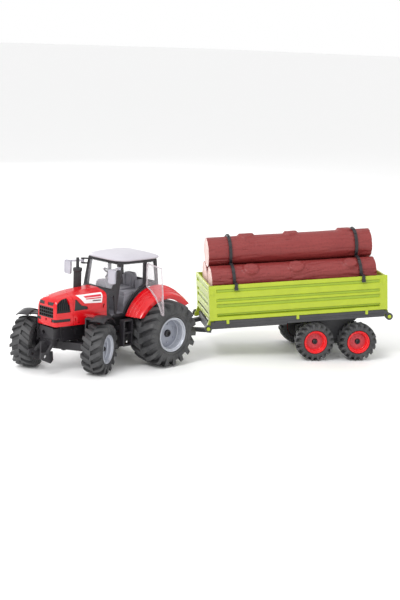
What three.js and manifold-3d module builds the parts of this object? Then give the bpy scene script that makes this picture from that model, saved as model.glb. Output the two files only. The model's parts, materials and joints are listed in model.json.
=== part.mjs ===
// A toy farm tractor hitched to a tipping trailer with a bundle of three logs.
// Millimetres, +Z up. The tractor points along -X and its left side is -Y.
// The tractor's own origin is on the ground below the middle of its rear axle.
// It stands with its front axle and its trailer turned to the left, and its left door open.
import * as THREE from "three";
import { mergeVertices } from "three/addons/utils/BufferGeometryUtils.js";
import Module from "manifold-3d";

const wasm = await Module();
wasm.setup();

// ---------------------------------------------------------------- driving dimensions

const RAD = Math.PI / 180;
const GAP = 0.3; // clear space kept between pieces that touch
const WHEELBASE = 108;
const STEER = 28; // degrees, the front axle's turn to the left
const DOOR_OPEN = 83; // degrees, the left door's turn from shut
const HITCH = { x: 43.9, z: 30, yaw: -35.25, pitch: -4 }; // the trailer's coupling and its set, in degrees

// Wheels. outer is the distance from the centre plane to the tyre's outer face, lip the rim's outer
// radius, lugs their number around the tread, and shoulder the radius lost at the tread's edges.
const REAR = {
  radius: 39.4, width: 38, outer: 70.5, lip: 20.7, dish: 10, bore: 3,
  lugs: 18, lugDepth: 4.2, shoulder: 8.4,
};
const FRONT = {
  radius: 29.4, width: 24.8, outer: 56.4, lip: 17, dish: 6, bore: 2.5,
  lugs: 16, lugDepth: 3.2, shoulder: 3,
};
const CART = {
  radius: 23.4, width: 21, outer: 57, lip: 14.2, dish: 6, bore: 2,
  lugs: 18, lugDepth: 2.2, shoulder: 0,
};
const LUG_SHARE = 0.34; // of the tread's pitch, at the lug's top
const ROUND = 20; // sides of a round rim

// Cab.
const CAB = { front: -66, rear: 4, sill: 60.2, top: 124.5, wall: 2.4, belt: 91, halfFront: 28, halfRear: 33 };
const CAB_TAPER = 45; // the length over which the cab narrows, forwards of the door hinges
const DOOR_HINGE = { x: -12.5, y: 34.8 };
const MIRROR = { x: -55, y: 33, z: 118.3 };

// Trailer, in the deck's frame: x back from the hitch eye along the deck, z square to the deck.
const BED = { front: 54.5, rear: 277, half: 48.5, wall: 2.5, floor: 14.3, top: 57.3 };
const PEGS = { front: 52.5, rear: 279, z: 5, radius: 2.2 };
const RAIL = { inner: 45, outer: 47.5, low: 3.9, top: 12.5, step: 150, stepLow: 7.8 }; // shallower from step
const BOGIE = { x: 211.6, z: 27, reach: 27.1 };
const LOG = { radius: 18.3, front: 61, rear: 267, spread: 18.7, lowZ: 58, topZ: 90.6 };
const STUBS = [0.24, 0.515, 0.845]; // shares of a log's length
const STRAPS = [88, 246.5];

const COLOURS = {
  red: [0xeb1c24, 0.28, 0],
  lime: [0xc4d440, 0.45, 0],
  black: [0x28262a, 0.5, 0],
  tyre: [0x3c3c3c, 0.8, 0],
  silver: [0xaaacb4, 0.35, 0.3],
  grey: [0x78767d, 0.55, 0],
  roof: [0xcdc8d0, 0.45, 0],
  clear: [0xf2f4f6, 0.1, 0],
  bark: [0x964641, 0.6, 0],
};

// ---------------------------------------------------------------- geometry helpers

// A closed geometry as a solid that can be joined and cut.
function solid(geometry) {
  const bare = geometry.index ? geometry.toNonIndexed() : geometry.clone();
  bare.deleteAttribute("normal");
  bare.deleteAttribute("uv");
  const merged = mergeVertices(bare, 1e-3);
  const triVerts = new Uint32Array(merged.index.array);
  const make = () => new wasm.Manifold(
    new wasm.Mesh({ numProp: 3, vertProperties: merged.attributes.position.array, triVerts }),
  );
  const made = make();
  if (made.volume() > 0) return made;
  for (let i = 0; i < triVerts.length; i += 3)
    [triVerts[i + 1], triVerts[i + 2]] = [triVerts[i + 2], triVerts[i + 1]];
  return make();
}

const join = (first, ...others) => others.reduce((whole, part) => whole.add(part), first);
const cut = (first, ...tools) => tools.reduce((whole, tool) => whole.subtract(tool), first);
const common = (first, ...others) => others.reduce((whole, part) => whole.intersect(part), first);

// A block between three pairs of limits.
function block([x0, x1], [y0, y1], [z0, z1]) {
  return solid(
    new THREE.BoxGeometry(x1 - x0, y1 - y0, z1 - z0).translate((x0 + x1) / 2, (y0 + y1) / 2, (z0 + z1) / 2),
  );
}

// An outline of straight edges whose corners are rounded by radius.
function outline(points, radius = 0) {
  const shape = new THREE.Shape();
  const corners = points.map(([u, v]) => new THREE.Vector2(u, v));
  if (!radius) return shape.setFromPoints(corners);
  corners.forEach((corner, i) => {
    const before = corners.at(i - 1).clone().sub(corner);
    const after = corners[(i + 1) % corners.length].clone().sub(corner);
    const start = corner.clone().add(before.setLength(Math.min(radius, before.length() / 2)));
    const end = corner.clone().add(after.setLength(Math.min(radius, after.length() / 2)));
    if (i) shape.lineTo(start.x, start.y);
    else shape.moveTo(start.x, start.y);
    shape.quadraticCurveTo(corner.x, corner.y, end.x, end.y);
  });
  return shape.closePath();
}

const extrude = (shape, depth, curveSegments) =>
  new THREE.ExtrudeGeometry(shape, { depth, bevelEnabled: false, curveSegments });

// Outlines drawn from the side (x, z), from above (x, y) and from the front (y, z).
const sidePlate = (shape, [y0, y1], arc = 3) =>
  solid(extrude(shape, y1 - y0, arc).rotateX(Math.PI / 2).translate(0, y1, 0));
const planPlate = (shape, [z0, z1], arc = 3) => solid(extrude(shape, z1 - z0, arc).translate(0, 0, z0));
const FRONT_BASIS = new THREE.Matrix4().makeBasis(
  new THREE.Vector3(0, 1, 0),
  new THREE.Vector3(0, 0, 1),
  new THREE.Vector3(1, 0, 0),
);
const frontPlate = (shape, [x0, x1], arc = 3) =>
  solid(extrude(shape, x1 - x0, arc).applyMatrix4(FRONT_BASIS).translate(x0, 0, 0));

// A round bar between two points.
function bar(from, to, radius, sides = 12) {
  const a = new THREE.Vector3(...from);
  const b = new THREE.Vector3(...to);
  const along = b.clone().sub(a);
  const turn = new THREE.Quaternion().setFromUnitVectors(
    new THREE.Vector3(0, 1, 0),
    along.clone().normalize(),
  );
  const middle = a.add(b).multiplyScalar(0.5);
  return solid(
    new THREE.CylinderGeometry(radius, radius, along.length(), sides).applyQuaternion(turn)
      .translate(middle.x, middle.y, middle.z),
  );
}

const acrossBar = ([x, z], [y0, y1], radius, sides) => bar([x, y0, z], [x, y1, z], radius, sides);
const uprightBar = ([x, y], [z0, z1], radius, sides) => bar([x, y, z0], [x, y, z1], radius, sides);

// A solid turned about the Y axis from (radius, y) points.
const turned = (profile, sides = ROUND) =>
  solid(new THREE.LatheGeometry(profile.map(([r, y]) => new THREE.Vector2(r, y)), sides));

const mirrored = (made) => made.mirror([0, 1, 0]);
const sides = (make) => join(make, mirrored(make));

// ---------------------------------------------------------------- the scene graph

const toy = new THREE.Group();

function group(parent, position = [0, 0, 0], [rx, ry, rz] = [0, 0, 0]) {
  const made = new THREE.Group();
  made.position.set(...position);
  made.rotation.set(rx * RAD, ry * RAD, rz * RAD);
  parent.add(made);
  return made;
}

function piece(parent, name, made, finish) {
  const mesh = made.getMesh();
  const geometry = new THREE.BufferGeometry();
  const stride = mesh.numProp;
  const positions = new Float32Array(mesh.numVert * 3);
  for (let i = 0; i < mesh.numVert; i++)
    positions.set(mesh.vertProperties.subarray(i * stride, i * stride + 3), i * 3);
  geometry.setAttribute("position", new THREE.BufferAttribute(positions, 3));
  geometry.setIndex(new THREE.BufferAttribute(new Uint32Array(mesh.triVerts), 1));
  const flat = geometry.toNonIndexed();
  flat.computeVertexNormals();
  const [color, roughness, metalness] = COLOURS[finish];
  const node = new THREE.Mesh(flat, new THREE.MeshStandardMaterial({ color, roughness, metalness }));
  node.name = name;
  parent.add(node);
  return node;
}

// ---------------------------------------------------------------- wheels

// Half the angle that a lug's flat top covers, and the height at which a wheel stands on that flat.
const lugHalfAngle = ({ lugs }) => (Math.PI / lugs) * LUG_SHARE;
const standing = (wheel) => wheel.radius * Math.cos(lugHalfAngle(wheel));

// The tyre: lugs straight across the tread, one of them pointing straight down, and tapered shoulders.
function tyre(wheel) {
  const pitch = (2 * Math.PI) / wheel.lugs;
  const top = lugHalfAngle(wheel);
  const foot = top * 1.35;
  const groove = wheel.radius - wheel.lugDepth;
  const bore = wheel.lip + GAP;
  const polar = (angle, radius) => new THREE.Vector2(radius * Math.cos(angle), radius * Math.sin(angle));
  const tread = Array.from({ length: wheel.lugs }, (_, i) => {
    const middle = i * pitch - Math.PI / 2;
    return [
      polar(middle - foot, groove),
      polar(middle - top, wheel.radius),
      polar(middle + top, wheel.radius),
      polar(middle + foot, groove),
    ];
  });
  const section = new THREE.Shape(tread.flat());
  const around = Array.from({ length: ROUND }, (_, i) => polar((-2 * Math.PI * i) / ROUND, bore));
  section.holes.push(new THREE.Path(around));
  const made = new THREE.ExtrudeGeometry(section, {
    depth: wheel.width,
    bevelEnabled: false,
    steps: wheel.shoulder ? 4 : 1,
  });
  const half = wheel.width / 2;
  made.rotateX(Math.PI / 2).translate(0, half, 0);
  const scale = 1 - wheel.shoulder / wheel.radius;
  const at = made.attributes.position;
  for (let i = 0; i < at.count; i++) {
    const onFace = Math.abs(at.getY(i)) > half - 0.01;
    const onTread = Math.hypot(at.getX(i), at.getZ(i)) > bore + 0.1;
    if (onFace && onTread) at.setXYZ(i, at.getX(i) * scale, at.getY(i), at.getZ(i) * scale);
  }
  return solid(made);
}

// The dished rim, its outer face towards +Y, with a blind bore for the axle.
function rim(wheel) {
  const { lip, bore, dish } = wheel;
  const half = wheel.width / 2 - 1;
  const web = half - dish;
  const barrel = lip - 2;
  return turned([
    [0, web - 1],
    [bore + GAP, web - 1],
    [bore + GAP, web - 7],
    [bore + 2.5, web - 7],
    [bore + 2.5, web - 2],
    [barrel, web - 2],
    [barrel, -half],
    [lip, -half],
    [lip, half],
    [lip - 1.6, half],
    [barrel - 1, web + 1],
    [bore + 4, web],
    [bore + 3, web + 4],
    [0, web + 4],
  ]);
}

// Where the axle ends inside the rim, from the centre plane.
const axleEnd = (wheel) => wheel.outer - 1 - wheel.dish - 1 - GAP;

function wheelPair(parent, wheel, [leftName, rightName]) {
  for (const [name, side, turn] of [[leftName, -1, 180], [rightName, 1, 0]]) {
    const hub = group(parent, [0, side * (wheel.outer - wheel.width / 2), 0], [0, 0, turn]);
    piece(hub, name + "_tyre", tyre(wheel), "tyre");
    piece(hub, name + "_rim", rim(wheel), wheel === CART ? "red" : "silver");
  }
}

// ---------------------------------------------------------------- tractor frame

const tractor = group(toy);
const rearZ = standing(REAR);
const frontZ = standing(FRONT);

function chassis() {
  const axleBore = acrossBar([0, rearZ], [-40, 40], REAR.bore + GAP, 16);
  return cut(
    join(
      block([-124, -57], [-11, 11], [36.5, 54]),
      block([-58, 20], [-16, 16], [30, 59.5]),
      block([-90, -20], [-9, 9], [22, 31]),
      block([-92, -57], [-9, 9], [30, 37]),
      acrossBar([0, rearZ], [-30, 30], 8, 16),
      uprightBar([-WHEELBASE, 0], [23, 38], 3),
    ),
    axleBore,
  );
}

function frontCarrier() {
  const body = frontPlate(
    outline([[-13, 40], [13, 40], [13, 54], [-13, 54]], 2.5),
    [-134, -124 - GAP],
  );
  return cut(body, bar([-136, 5, 47], [-130, 5, 47], 2.5));
}

// A keel plate and two lower arms, each ending in a hook plate with a hole.
function frontLinkage() {
  const hook = cut(
    sidePlate(outline([[-151, 20], [-150, 27.5], [-134, 27.5], [-133, 17], [-137, 13.5]]), [10.4, 12.6]),
    acrossBar([-144.5, 22.5], [8, 15], 2.1, 10),
  );
  const arm = bar([-130.5, 9, 36], [-142, 11.5, 25], 2.2, 6);
  return join(
    sidePlate(outline([[-142, 17], [-142, 38], [-127, 38], [-127, 30]]), [-1.5, 1.5]),
    block([-134, -127], [-11, 11], [33, 40 - GAP]),
    sides(join(hook, arm)),
  );
}

function hitchBracket() {
  const plate = outline([[20 + GAP, -9], [20 + GAP, 9], [47, 5.5], [50, 0], [47, -5.5]]);
  const hole = uprightBar([HITCH.x, 0], [20, 40], 2.5);
  return cut(
    join(
      planPlate(plate, [23.5, 26]),
      planPlate(plate, [34, 36.5]),
      block([20 + GAP, 27], [-9, 9], [23.5, 40]),
    ),
    hole,
  );
}

const hitchPin = () =>
  join(uprightBar([HITCH.x, 0], [21.5, 39], 2.1), uprightBar([HITCH.x, 0], [38, 40.5], 3.6));

// ---------------------------------------------------------------- hood

const HOOD_SPLIT = -111;
const GRILLE = { half: 13.5, low: 64.5, high: 78, back: -131.9, front: -133.7 };
const EXHAUST = { x: -79, y: 13, radius: 4.8 };

// The bonnet's skin: its side, plan and front outlines in common. inset makes the hollow inside.
function hoodForm(inset) {
  const top = inset;
  const side = outline([
    [-133.5 + inset, 56 - 2 * inset],
    [-134.6 + inset, 66],
    [-133.6 + inset, 83.5 - top],
    [-130 + inset, 87.5 - top],
    [-111, 90.4 - top],
    [-66.5 - inset, 93.5 - top],
    [-66.5 - inset, 62 - 2 * inset],
    [-88, 60.8 - 2 * inset],
    [-95, 57 - 2 * inset],
  ]);
  const half = [
    [-134.6 + inset, 14 - inset],
    [-131.5, 16.8 - inset],
    [-111, 20.3 - inset],
    [-66.5 - inset, 25.7 - inset],
  ];
  const plan = outline([...half, ...half.map(([x, y]) => [x, -y]).reverse()]);
  const front = outline([
    [-27, 50],
    [27, 50],
    [25.7 - inset, 84],
    [21 - inset, 91 - top],
    [9, 93.5 - top],
    [-9, 93.5 - top],
    [-21 + inset, 91 - top],
    [-25.7 + inset, 84],
  ]);
  return common(sidePlate(side, [-28, 28]), planPlate(plan, [40, 100]), frontPlate(front, [-140, -60]));
}

function hoodShell() {
  const hollow = hoodForm(2.2);
  const lampSlots = [7.5, -7.5].map((y) => block([-136, -131.5], [y - 4, y + 4], [79.8, 83.2]));
  return cut(
    hoodForm(0),
    hollow,
    block([-136, -131.5], [-GRILLE.half - GAP, GRILLE.half + GAP], [GRILLE.low - GAP, GRILLE.high + GAP]),
    ...lampSlots,
    uprightBar([EXHAUST.x, EXHAUST.y], [80, 100], EXHAUST.radius + GAP),
  );
}

function grille() {
  const bars = [69, 73.5].map((z) =>
    block([GRILLE.front - 1, GRILLE.front + 0.8], [-GRILLE.half - 1, GRILLE.half + 1], [z - 0.8, z + 0.8]),
  );
  const plate = block([GRILLE.front, GRILLE.back], [-GRILLE.half, GRILLE.half], [GRILLE.low, GRILLE.high]);
  return cut(plate, ...bars);
}

function muffler() {
  const { x, y, radius } = EXHAUST;
  return join(
    uprightBar([x, y], [89, 112.5], radius, 16),
    uprightBar([x, y], [111, 115], radius + 0.7, 16),
  );
}

// ---------------------------------------------------------------- cab

// Half the cab's width at x: it is narrower at the windscreen than at the rear.
const cabHalf = (x) =>
  CAB.halfRear - ((CAB.halfRear - CAB.halfFront) * Math.max(0, DOOR_HINGE.x - x)) / CAB_TAPER;

function cabOutline(inset) {
  const points = [
    [CAB.front + inset, 25 - inset],
    [-56, cabHalf(-56) - inset],
    [DOOR_HINGE.x, CAB.halfRear - inset],
    [CAB.rear + 4 - inset, CAB.halfRear - inset],
  ];
  return outline([...points, ...points.map(([x, y]) => [x, -y]).reverse()]);
}

// From the side: sill, cowl, raked windscreen, roof rail, rear pillar and the arch over the fender.
function cabSide(inset) {
  const shape = new THREE.Shape();
  shape.moveTo(CAB.front + inset, CAB.sill + inset);
  shape.lineTo(CAB.front + inset, 86 - inset);
  shape.lineTo(-57.5 + inset, CAB.belt - inset * 0.3);
  shape.lineTo(-49.5 + inset, CAB.top - inset);
  shape.lineTo(CAB.rear - inset, CAB.top - inset);
  shape.lineTo(CAB.rear + 4 - inset, CAB.belt + 1.5 + inset);
  shape.lineTo(-12 - inset * 0.4, CAB.belt + 1.5 + inset);
  shape.quadraticCurveTo(-30 - inset * 0.6, 86 + inset, -41 - inset * 0.4, CAB.sill + inset);
  return shape.closePath();
}

function cabFrame() {
  const { wall } = CAB;
  const shell = common(sidePlate(cabSide(0), [-34, 34], 6), planPlate(cabOutline(0), [50, 130]));
  const hollow = common(sidePlate(cabSide(wall), [-34, 34], 6), planPlate(cabOutline(wall), [50, 130]));
  const doorway = new THREE.Shape();
  doorway.moveTo(-53.5, 63.5);
  doorway.lineTo(-50, CAB.belt);
  doorway.lineTo(-44.5, 121.5);
  doorway.lineTo(-15.5, 121.5);
  doorway.lineTo(-15.5, 94);
  doorway.quadraticCurveTo(-33, 86, -43, 63.5);
  doorway.closePath();
  const quarterLight = outline([[-63, 63.5], [-63, 83.5], [-57, 86.5], [-55.5, 63.5]]);
  const rearLight = outline([[-11.5, 97], [-11.5, 121.5], [0.5, 121.5], [3.5, 97]]);
  const screen = outline([[-23, 92.5], [23, 92.5], [25.5, 121.2], [-25.5, 121.2]], 2);
  const rearScreen = outline([[-29, 97], [29, 97], [29, 121.2], [-29, 121.2]], 2);
  const floorWay = join(block([-60, -40], [-27.5, 27.5], [50, 64]), block([-45, 3], [-27.5, 27.5], [50, 96]));
  const across = [-40, 40];
  return cut(
    shell,
    hollow,
    sidePlate(doorway, across, 6),
    sidePlate(quarterLight, across),
    sidePlate(rearLight, across),
    frontPlate(screen, [-70, -42]),
    frontPlate(rearScreen, [-1, 15]),
    floorWay,
    block([-75, -60], [-20, 20], [50, 84]),
  );
}

// Clevis brackets on the front pillars: two prongs with a pin for each mirror.
function mirrorBrackets() {
  const { x, y, z } = MIRROR;
  const prong = (low) =>
    planPlate(outline([[-51.2, 27.4], [-49.2, 30.6], [x + 1, y + 2], [x - 2, y + 1.4], [x - 1.6, y - 2.4]]), [
      low,
      low + 1.4,
    ]);
  return sides(join(prong(z - 3.5), prong(z + 2.1), uprightBar([x, y], [z - 3, z + 3], 0.8, 8)));
}

function roof() {
  const half = [[-54, 29], [-49, 34], [11, 36.5], [13.5, 33]];
  const plan = outline([...half, ...half.map(([x, y]) => [x, -y]).reverse()], 5);
  const side = outline([
    [-54, CAB.top + GAP],
    [-54, 126.6],
    [-44, 130.8],
    [-20, 133.4],
    [4, 131.6],
    [13.5, 127.4],
    [13.5, CAB.top + GAP],
  ]);
  const front = outline([
    [-37, CAB.top + GAP],
    [37, CAB.top + GAP],
    [37, 127],
    [26, 130.6],
    [0, 133.4],
    [-26, 130.6],
    [-37, 127],
  ]);
  return common(planPlate(plan, [120, 140]), sidePlate(side, [-40, 40]), frontPlate(front, [-60, 20]));
}

function windscreen() {
  const pane = outline([[-22.6, 92.9], [22.6, 92.9], [25.1, 120.8], [-25.1, 120.8]], 2);
  const rake = outline([[-57, 92.9], [-50.4, 120.8], [-49.2, 120.8], [-55.8, 92.9]]);
  return common(frontPlate(pane, [-70, -40]), sidePlate(rake, [-40, 40]));
}

function rearWindow() {
  const pane = outline([[-28.6, 97.4], [28.6, 97.4], [28.6, 120.8], [-28.6, 120.8]], 2);
  const rake = outline([[6.6, 97.4], [3.8, 120.8], [2.6, 120.8], [5.4, 97.4]]);
  return common(frontPlate(pane, [-5, 15]), sidePlate(rake, [-40, 40]));
}

// Floor, wheel boxes, dashboard, seat and side shelves, moulded in one piece.
function cabInterior() {
  const seatBack = frontPlate(outline([[-10, 82], [10, 82], [8.5, 105], [-8.5, 105]], 4), [-12, -4.5]);
  return join(
    block([-59, -10], [-25, 25], [60.5, 63.5]),
    block([-40, 2], [-24, 24], [62, 84]),
    block([-57.5, -48], [-9, 9], [62, 88]),
    frontPlate(outline([[-10, 86], [10, 86], [7, 100], [-7, 100]], 3), [-53.5, -46.5]),
    seatBack,
    block([-30, -9], [-9, 9], [83, 88]),
    ...[-1, 1].map((side) => block([-12, 1.5], [side * 18 - 5, side * 18 + 5], [83, 98.5])),
  );
}

function steeringWheel() {
  const ring = solid(new THREE.TorusGeometry(7, 0.9, 5, 14));
  const spokes = join(
    block([-7, 7], [-1, 1], [-0.7, 0.7]),
    block([-1, 1], [-7, 7], [-0.7, 0.7]),
    uprightBar([0, 0], [-8.5, 0.8], 1.3, 8),
  );
  return join(ring, spokes).rotate([0, 38, 0]).translate([-41.5, 0, 108.5]);
}

// ---------------------------------------------------------------- body side pieces

// A mudguard band over the rear wheel, sloping down towards its turned-down outer edge.
function rearFender(side) {
  const [cx, cz, radius, thick, slope] = [3, 37.5, 51.4, 1.8, 0.44];
  const [inner, outer, edge, lip] = [34.4, 55.5, 1.4, 4.6];
  const arch = (top, bottom, from) => {
    const arc = new THREE.Shape();
    arc.absarc(cx, cz, top, 30 * RAD, 160 * RAD, false);
    arc.absarc(cx, cz, bottom, 160 * RAD, 30 * RAD, true);
    const band = extrude(arc, outer - from, 14).rotateX(Math.PI / 2).translate(0, outer, 0);
    const at = band.attributes.position;
    for (let i = 0; i < at.count; i++) at.setZ(i, at.getZ(i) + slope * ((inner + outer) / 2 - at.getY(i)));
    return solid(band);
  };
  const trimmed = cut(
    join(arch(radius, radius - thick, inner), arch(radius - 0.6, radius - lip, outer - edge)),
    block([-80, 0], [0, 80], [0, 61.2]),
    block([0, 80], [0, 80], [0, 70]),
  );
  return side < 0 ? mirrored(trimmed) : trimmed;
}

function steps(side) {
  const [front, back, low, high] = [-56, -41.5, 28, 59];
  const stile = (x) => block([x, x + 2], [37.5, 45], [low, high]);
  const rung = (z) => block([front, back], [37.5, 45], [z, z + 2]);
  const arm = block([-51, -44], [16 + GAP, 38], [42, 48]);
  const made = join(stile(front), stile(back - 2), rung(low), rung(42.5), rung(high - 2), arm);
  return side < 0 ? mirrored(made) : made;
}

// A door about its hinge: the pane, pointing forwards, its two knuckles and its handle.
function door(side) {
  const shape = outline([
    [0.8, 92.8],
    [-9, 90],
    [-17, 86],
    [-21.7, 83.5],
    [-28, 77.5],
    [-33, 72.5],
    [-38, 65.5],
    [-42.2, 65.5],
    [-39.4, CAB.belt],
    [-34.2, 121],
    [0.8, 121],
  ]);
  const knuckles = [[95, 99], [115, 119]].map((z) => uprightBar([0, 0], z, 1.3, 10));
  const handle = block([-37.4, -35.6], [0.4, 2.4], [80, 88]);
  const made = join(sidePlate(shape, [-0.6, 0.6]), ...knuckles, handle);
  return side < 0 ? mirrored(made) : made;
}

// A mirror about its pin: boss, arm forwards, and the head hanging from the arm.
function mirror(side) {
  const boss = uprightBar([0, 0], [-1.8, 1.8], 2, 12);
  const arm = planPlate(outline([[-1.3, 1.3], [-16, 8.5], [-17.4, 5.4], [-1.4, -1.3]]), [-1, 1.4]);
  const head = frontPlate(outline([[1, -15.5], [13, -15.5], [13, 1.4], [1, 1.4]], 2.5), [-17.4, -15.4]);
  const bore = uprightBar([0, 0], [-3, 3], 0.8 + GAP, 8);
  const made = cut(join(boss, arm, head), bore);
  return side < 0 ? mirrored(made) : made;
}

// ---------------------------------------------------------------- front axle

function frontAxle() {
  const end = axleEnd(FRONT);
  const hub = FRONT.outer - FRONT.width;
  return cut(
    join(
      block([-5, 5], [-hub + 1.5, hub - 1.5], [-4.5, 4.5]),
      acrossBar([0, 0], [-end, end], FRONT.bore, 12),
    ),
    uprightBar([0, 0], [-20, 20], 3 + GAP),
  );
}

// A curved guard over a front wheel, held by an upright plate inside the wheel.
function frontMudguard(side) {
  const radius = 36.5;
  const arc = new THREE.Shape();
  arc.absarc(0, 0, radius, 46 * RAD, 114 * RAD, false);
  arc.absarc(0, 0, radius - 1.6, 114 * RAD, 46 * RAD, true);
  const made = join(
    sidePlate(arc, [38.5, 56], 10),
    block([-9, -1], [29.2, 39.5], [radius - 2.4, radius - 1]),
    block([-8, 1.5], [28.9, 30.6], [4.5 + GAP, radius - 1]),
  );
  return side < 0 ? mirrored(made) : made;
}

// ---------------------------------------------------------------- tractor assembly

piece(tractor, "chassis", chassis(), "black");
piece(tractor, "front_carrier", frontCarrier(), "black");
piece(tractor, "front_linkage", frontLinkage(), "black");
piece(tractor, "hitch_bracket", hitchBracket(), "black");
piece(tractor, "hitch_pin", hitchPin(), "black");

const hood = hoodShell();
const frontHalf = block([-140, HOOD_SPLIT - GAP / 2], [-30, 30], [40, 100]);
const rearHalf = block([HOOD_SPLIT + GAP / 2, -60], [-30, 30], [40, 100]);
piece(tractor, "hood_nose", common(hood, frontHalf), "red");
piece(tractor, "hood", common(hood, rearHalf), "red");
piece(tractor, "grille", grille(), "black");
piece(tractor, "exhaust_muffler", muffler(), "black");
piece(tractor, "exhaust_pipe", uprightBar([EXHAUST.x, EXHAUST.y], [115 + GAP, 127], 2, 12), "black");

piece(tractor, "cab_frame", join(cabFrame(), mirrorBrackets()), "black");
piece(tractor, "roof", roof(), "roof");
piece(tractor, "windscreen", windscreen(), "clear");
piece(tractor, "rear_window", rearWindow(), "clear");
piece(tractor, "cab_interior", cabInterior(), "grey");
piece(tractor, "steering_wheel", steeringWheel(), "black");

const SIDES = [["left", -1], ["right", 1]];
for (const [name, side] of SIDES) {
  piece(tractor, name + "_fender", rearFender(side), "red");
  piece(tractor, name + "_steps", steps(side), "black");
  const shut = side * Math.atan2(CAB.halfRear - CAB.halfFront, CAB_TAPER) / RAD;
  const open = side < 0 ? DOOR_OPEN : 0;
  const hinge = group(tractor, [DOOR_HINGE.x, side * DOOR_HINGE.y, 0], [0, 0, shut + open]);
  piece(hinge, name + "_door", door(side), "clear");
  const pin = group(tractor, [MIRROR.x, side * MIRROR.y, MIRROR.z]);
  piece(pin, name + "_mirror", mirror(side), "clear");
}

const rearSet = group(tractor, [0, 0, rearZ]);
piece(rearSet, "rear_axle", acrossBar([0, 0], [-axleEnd(REAR), axleEnd(REAR)], REAR.bore, 16), "black");
wheelPair(rearSet, REAR, ["rear_left", "rear_right"]);

const frontSet = group(tractor, [-WHEELBASE, 0, frontZ], [0, 0, STEER]);
piece(frontSet, "front_axle", frontAxle(), "black");
for (const [name, side] of SIDES) piece(frontSet, name + "_mudguard", frontMudguard(side), "black");
wheelPair(frontSet, FRONT, ["front_left", "front_right"]);

// ---------------------------------------------------------------- trailer

const trailer = group(toy, [HITCH.x, 0, 0], [0, 0, HITCH.yaw]);
const deck = group(trailer, [0, 0, HITCH.z], [0, HITCH.pitch, 0]);

// A point given level in the trailer, in the deck's pitched frame.
function onDeck(x, z) {
  const angle = -HITCH.pitch * RAD;
  const rise = z - HITCH.z;
  return [x * Math.cos(angle) + rise * Math.sin(angle), rise * Math.cos(angle) - x * Math.sin(angle)];
}

const cartZ = standing(CART);
const CROSSMEMBERS = [64, 130, 261];

function trailerChassis() {
  const ring = (x) => acrossBar([x, PEGS.z], [45, 49], 4.5, 12);
  const hole = (x) => acrossBar([x, PEGS.z], [40, 60], PEGS.radius + GAP, 10);
  const openTop = block(
    [PEGS.front - PEGS.radius - GAP, PEGS.front + PEGS.radius + GAP],
    [40, 60],
    [PEGS.z, PEGS.z + 8],
  );
  const across = [RAIL.inner, RAIL.outer];
  const rail = join(
    block([PEGS.front + 3.5, RAIL.step], across, [RAIL.low, RAIL.top]),
    block([RAIL.step, PEGS.rear - 2], across, [RAIL.stepLow, RAIL.top]),
  );
  const member = (x) => block([x, x + 6], [-RAIL.inner - 0.5, RAIL.inner + 0.5], [5, 11]);
  const spine = block([58, 267], [16, 21], [5, 11]);
  return cut(
    join(sides(join(ring(PEGS.front), ring(PEGS.rear), rail, spine)), ...CROSSMEMBERS.map(member)),
    ...[hole(PEGS.front), hole(PEGS.rear), openTop].flatMap((tool) => [tool, mirrored(tool)]),
  );
}

// A plate under the spines with two tapered cheeks, each with a pin for the walking beam.
function bogieBracket() {
  const [pivotX, pivotZ] = onDeck(BOGIE.x, BOGIE.z);
  const cheek = sidePlate(
    outline([[pivotX - 34, 4.7], [pivotX + 34, 4.7], [pivotX + 5, pivotZ - 4], [pivotX - 5, pivotZ - 4]]),
    [32, 33.8],
  );
  const pin = acrossBar([pivotX, pivotZ], [25, 33], 2.6, 12);
  return join(
    sides(join(cheek, pin)),
    block([pivotX - 30, pivotX + 30], [-33.8, 33.8], [2.2, 5 - GAP]),
  );
}

// Two bars that converge on the eye that drops over the hitch pin.
function drawbar() {
  const eye = uprightBar([0, 0], [-2.4, 2.4], 6, 20);
  const arm = planPlate(outline([[4, -2.5], [4, 3.5], [57.7, 38], [57.7, 30], [14, 2.5]]), [-2.4, 2.2]);
  return cut(
    join(eye, sides(arm), block([55, 57.7], [-38, 38], [-2.4, 9])),
    uprightBar([0, 0], [-9, 9], 2.6, 16),
  );
}

// The walking beam: two side plates on the bracket's pins, tied by cross bars, in the level frame.
function bogieBeam() {
  const axleZ = cartZ - BOGIE.z;
  const reach = BOGIE.reach;
  const end = reach + 5;
  const top = axleZ + 4;
  const low = axleZ - 5;
  const plate = sidePlate(
    outline([[-end, low], [-end, top], [-6, 6], [6, 6], [end, top], [end, low]]),
    [27, 31.4],
  );
  const tie = (x) => block([x - 2.5, x + 2.5], [-28, 28], [-5, -1]);
  const holes = [
    acrossBar([0, 0], [20, 40], 2.6 + GAP, 12),
    acrossBar([-reach, axleZ], [20, 40], CART.bore + GAP, 12),
    acrossBar([reach, axleZ], [20, 40], CART.bore + GAP, 12),
  ];
  return join(sides(cut(plate, ...holes)), tie(-14), tie(14));
}

piece(deck, "trailer_chassis", trailerChassis(), "black");
piece(deck, "bogie_bracket", bogieBracket(), "black");
piece(deck, "drawbar", drawbar(), "black");
const bogie = group(trailer, [BOGIE.x, 0, BOGIE.z]);
piece(bogie, "bogie_beam", bogieBeam(), "black");
for (const [name, side] of [["front", -1], ["rear", 1]]) {
  const axle = group(bogie, [side * BOGIE.reach, 0, cartZ - BOGIE.z]);
  const end = axleEnd(CART);
  piece(axle, "trailer_" + name + "_axle", acrossBar([0, 0], [-end, end], CART.bore, 12), "black");
  wheelPair(axle, CART, ["trailer_" + name + "_left", "trailer_" + name + "_right"]);
}

// ---------------------------------------------------------------- tipping bed

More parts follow.
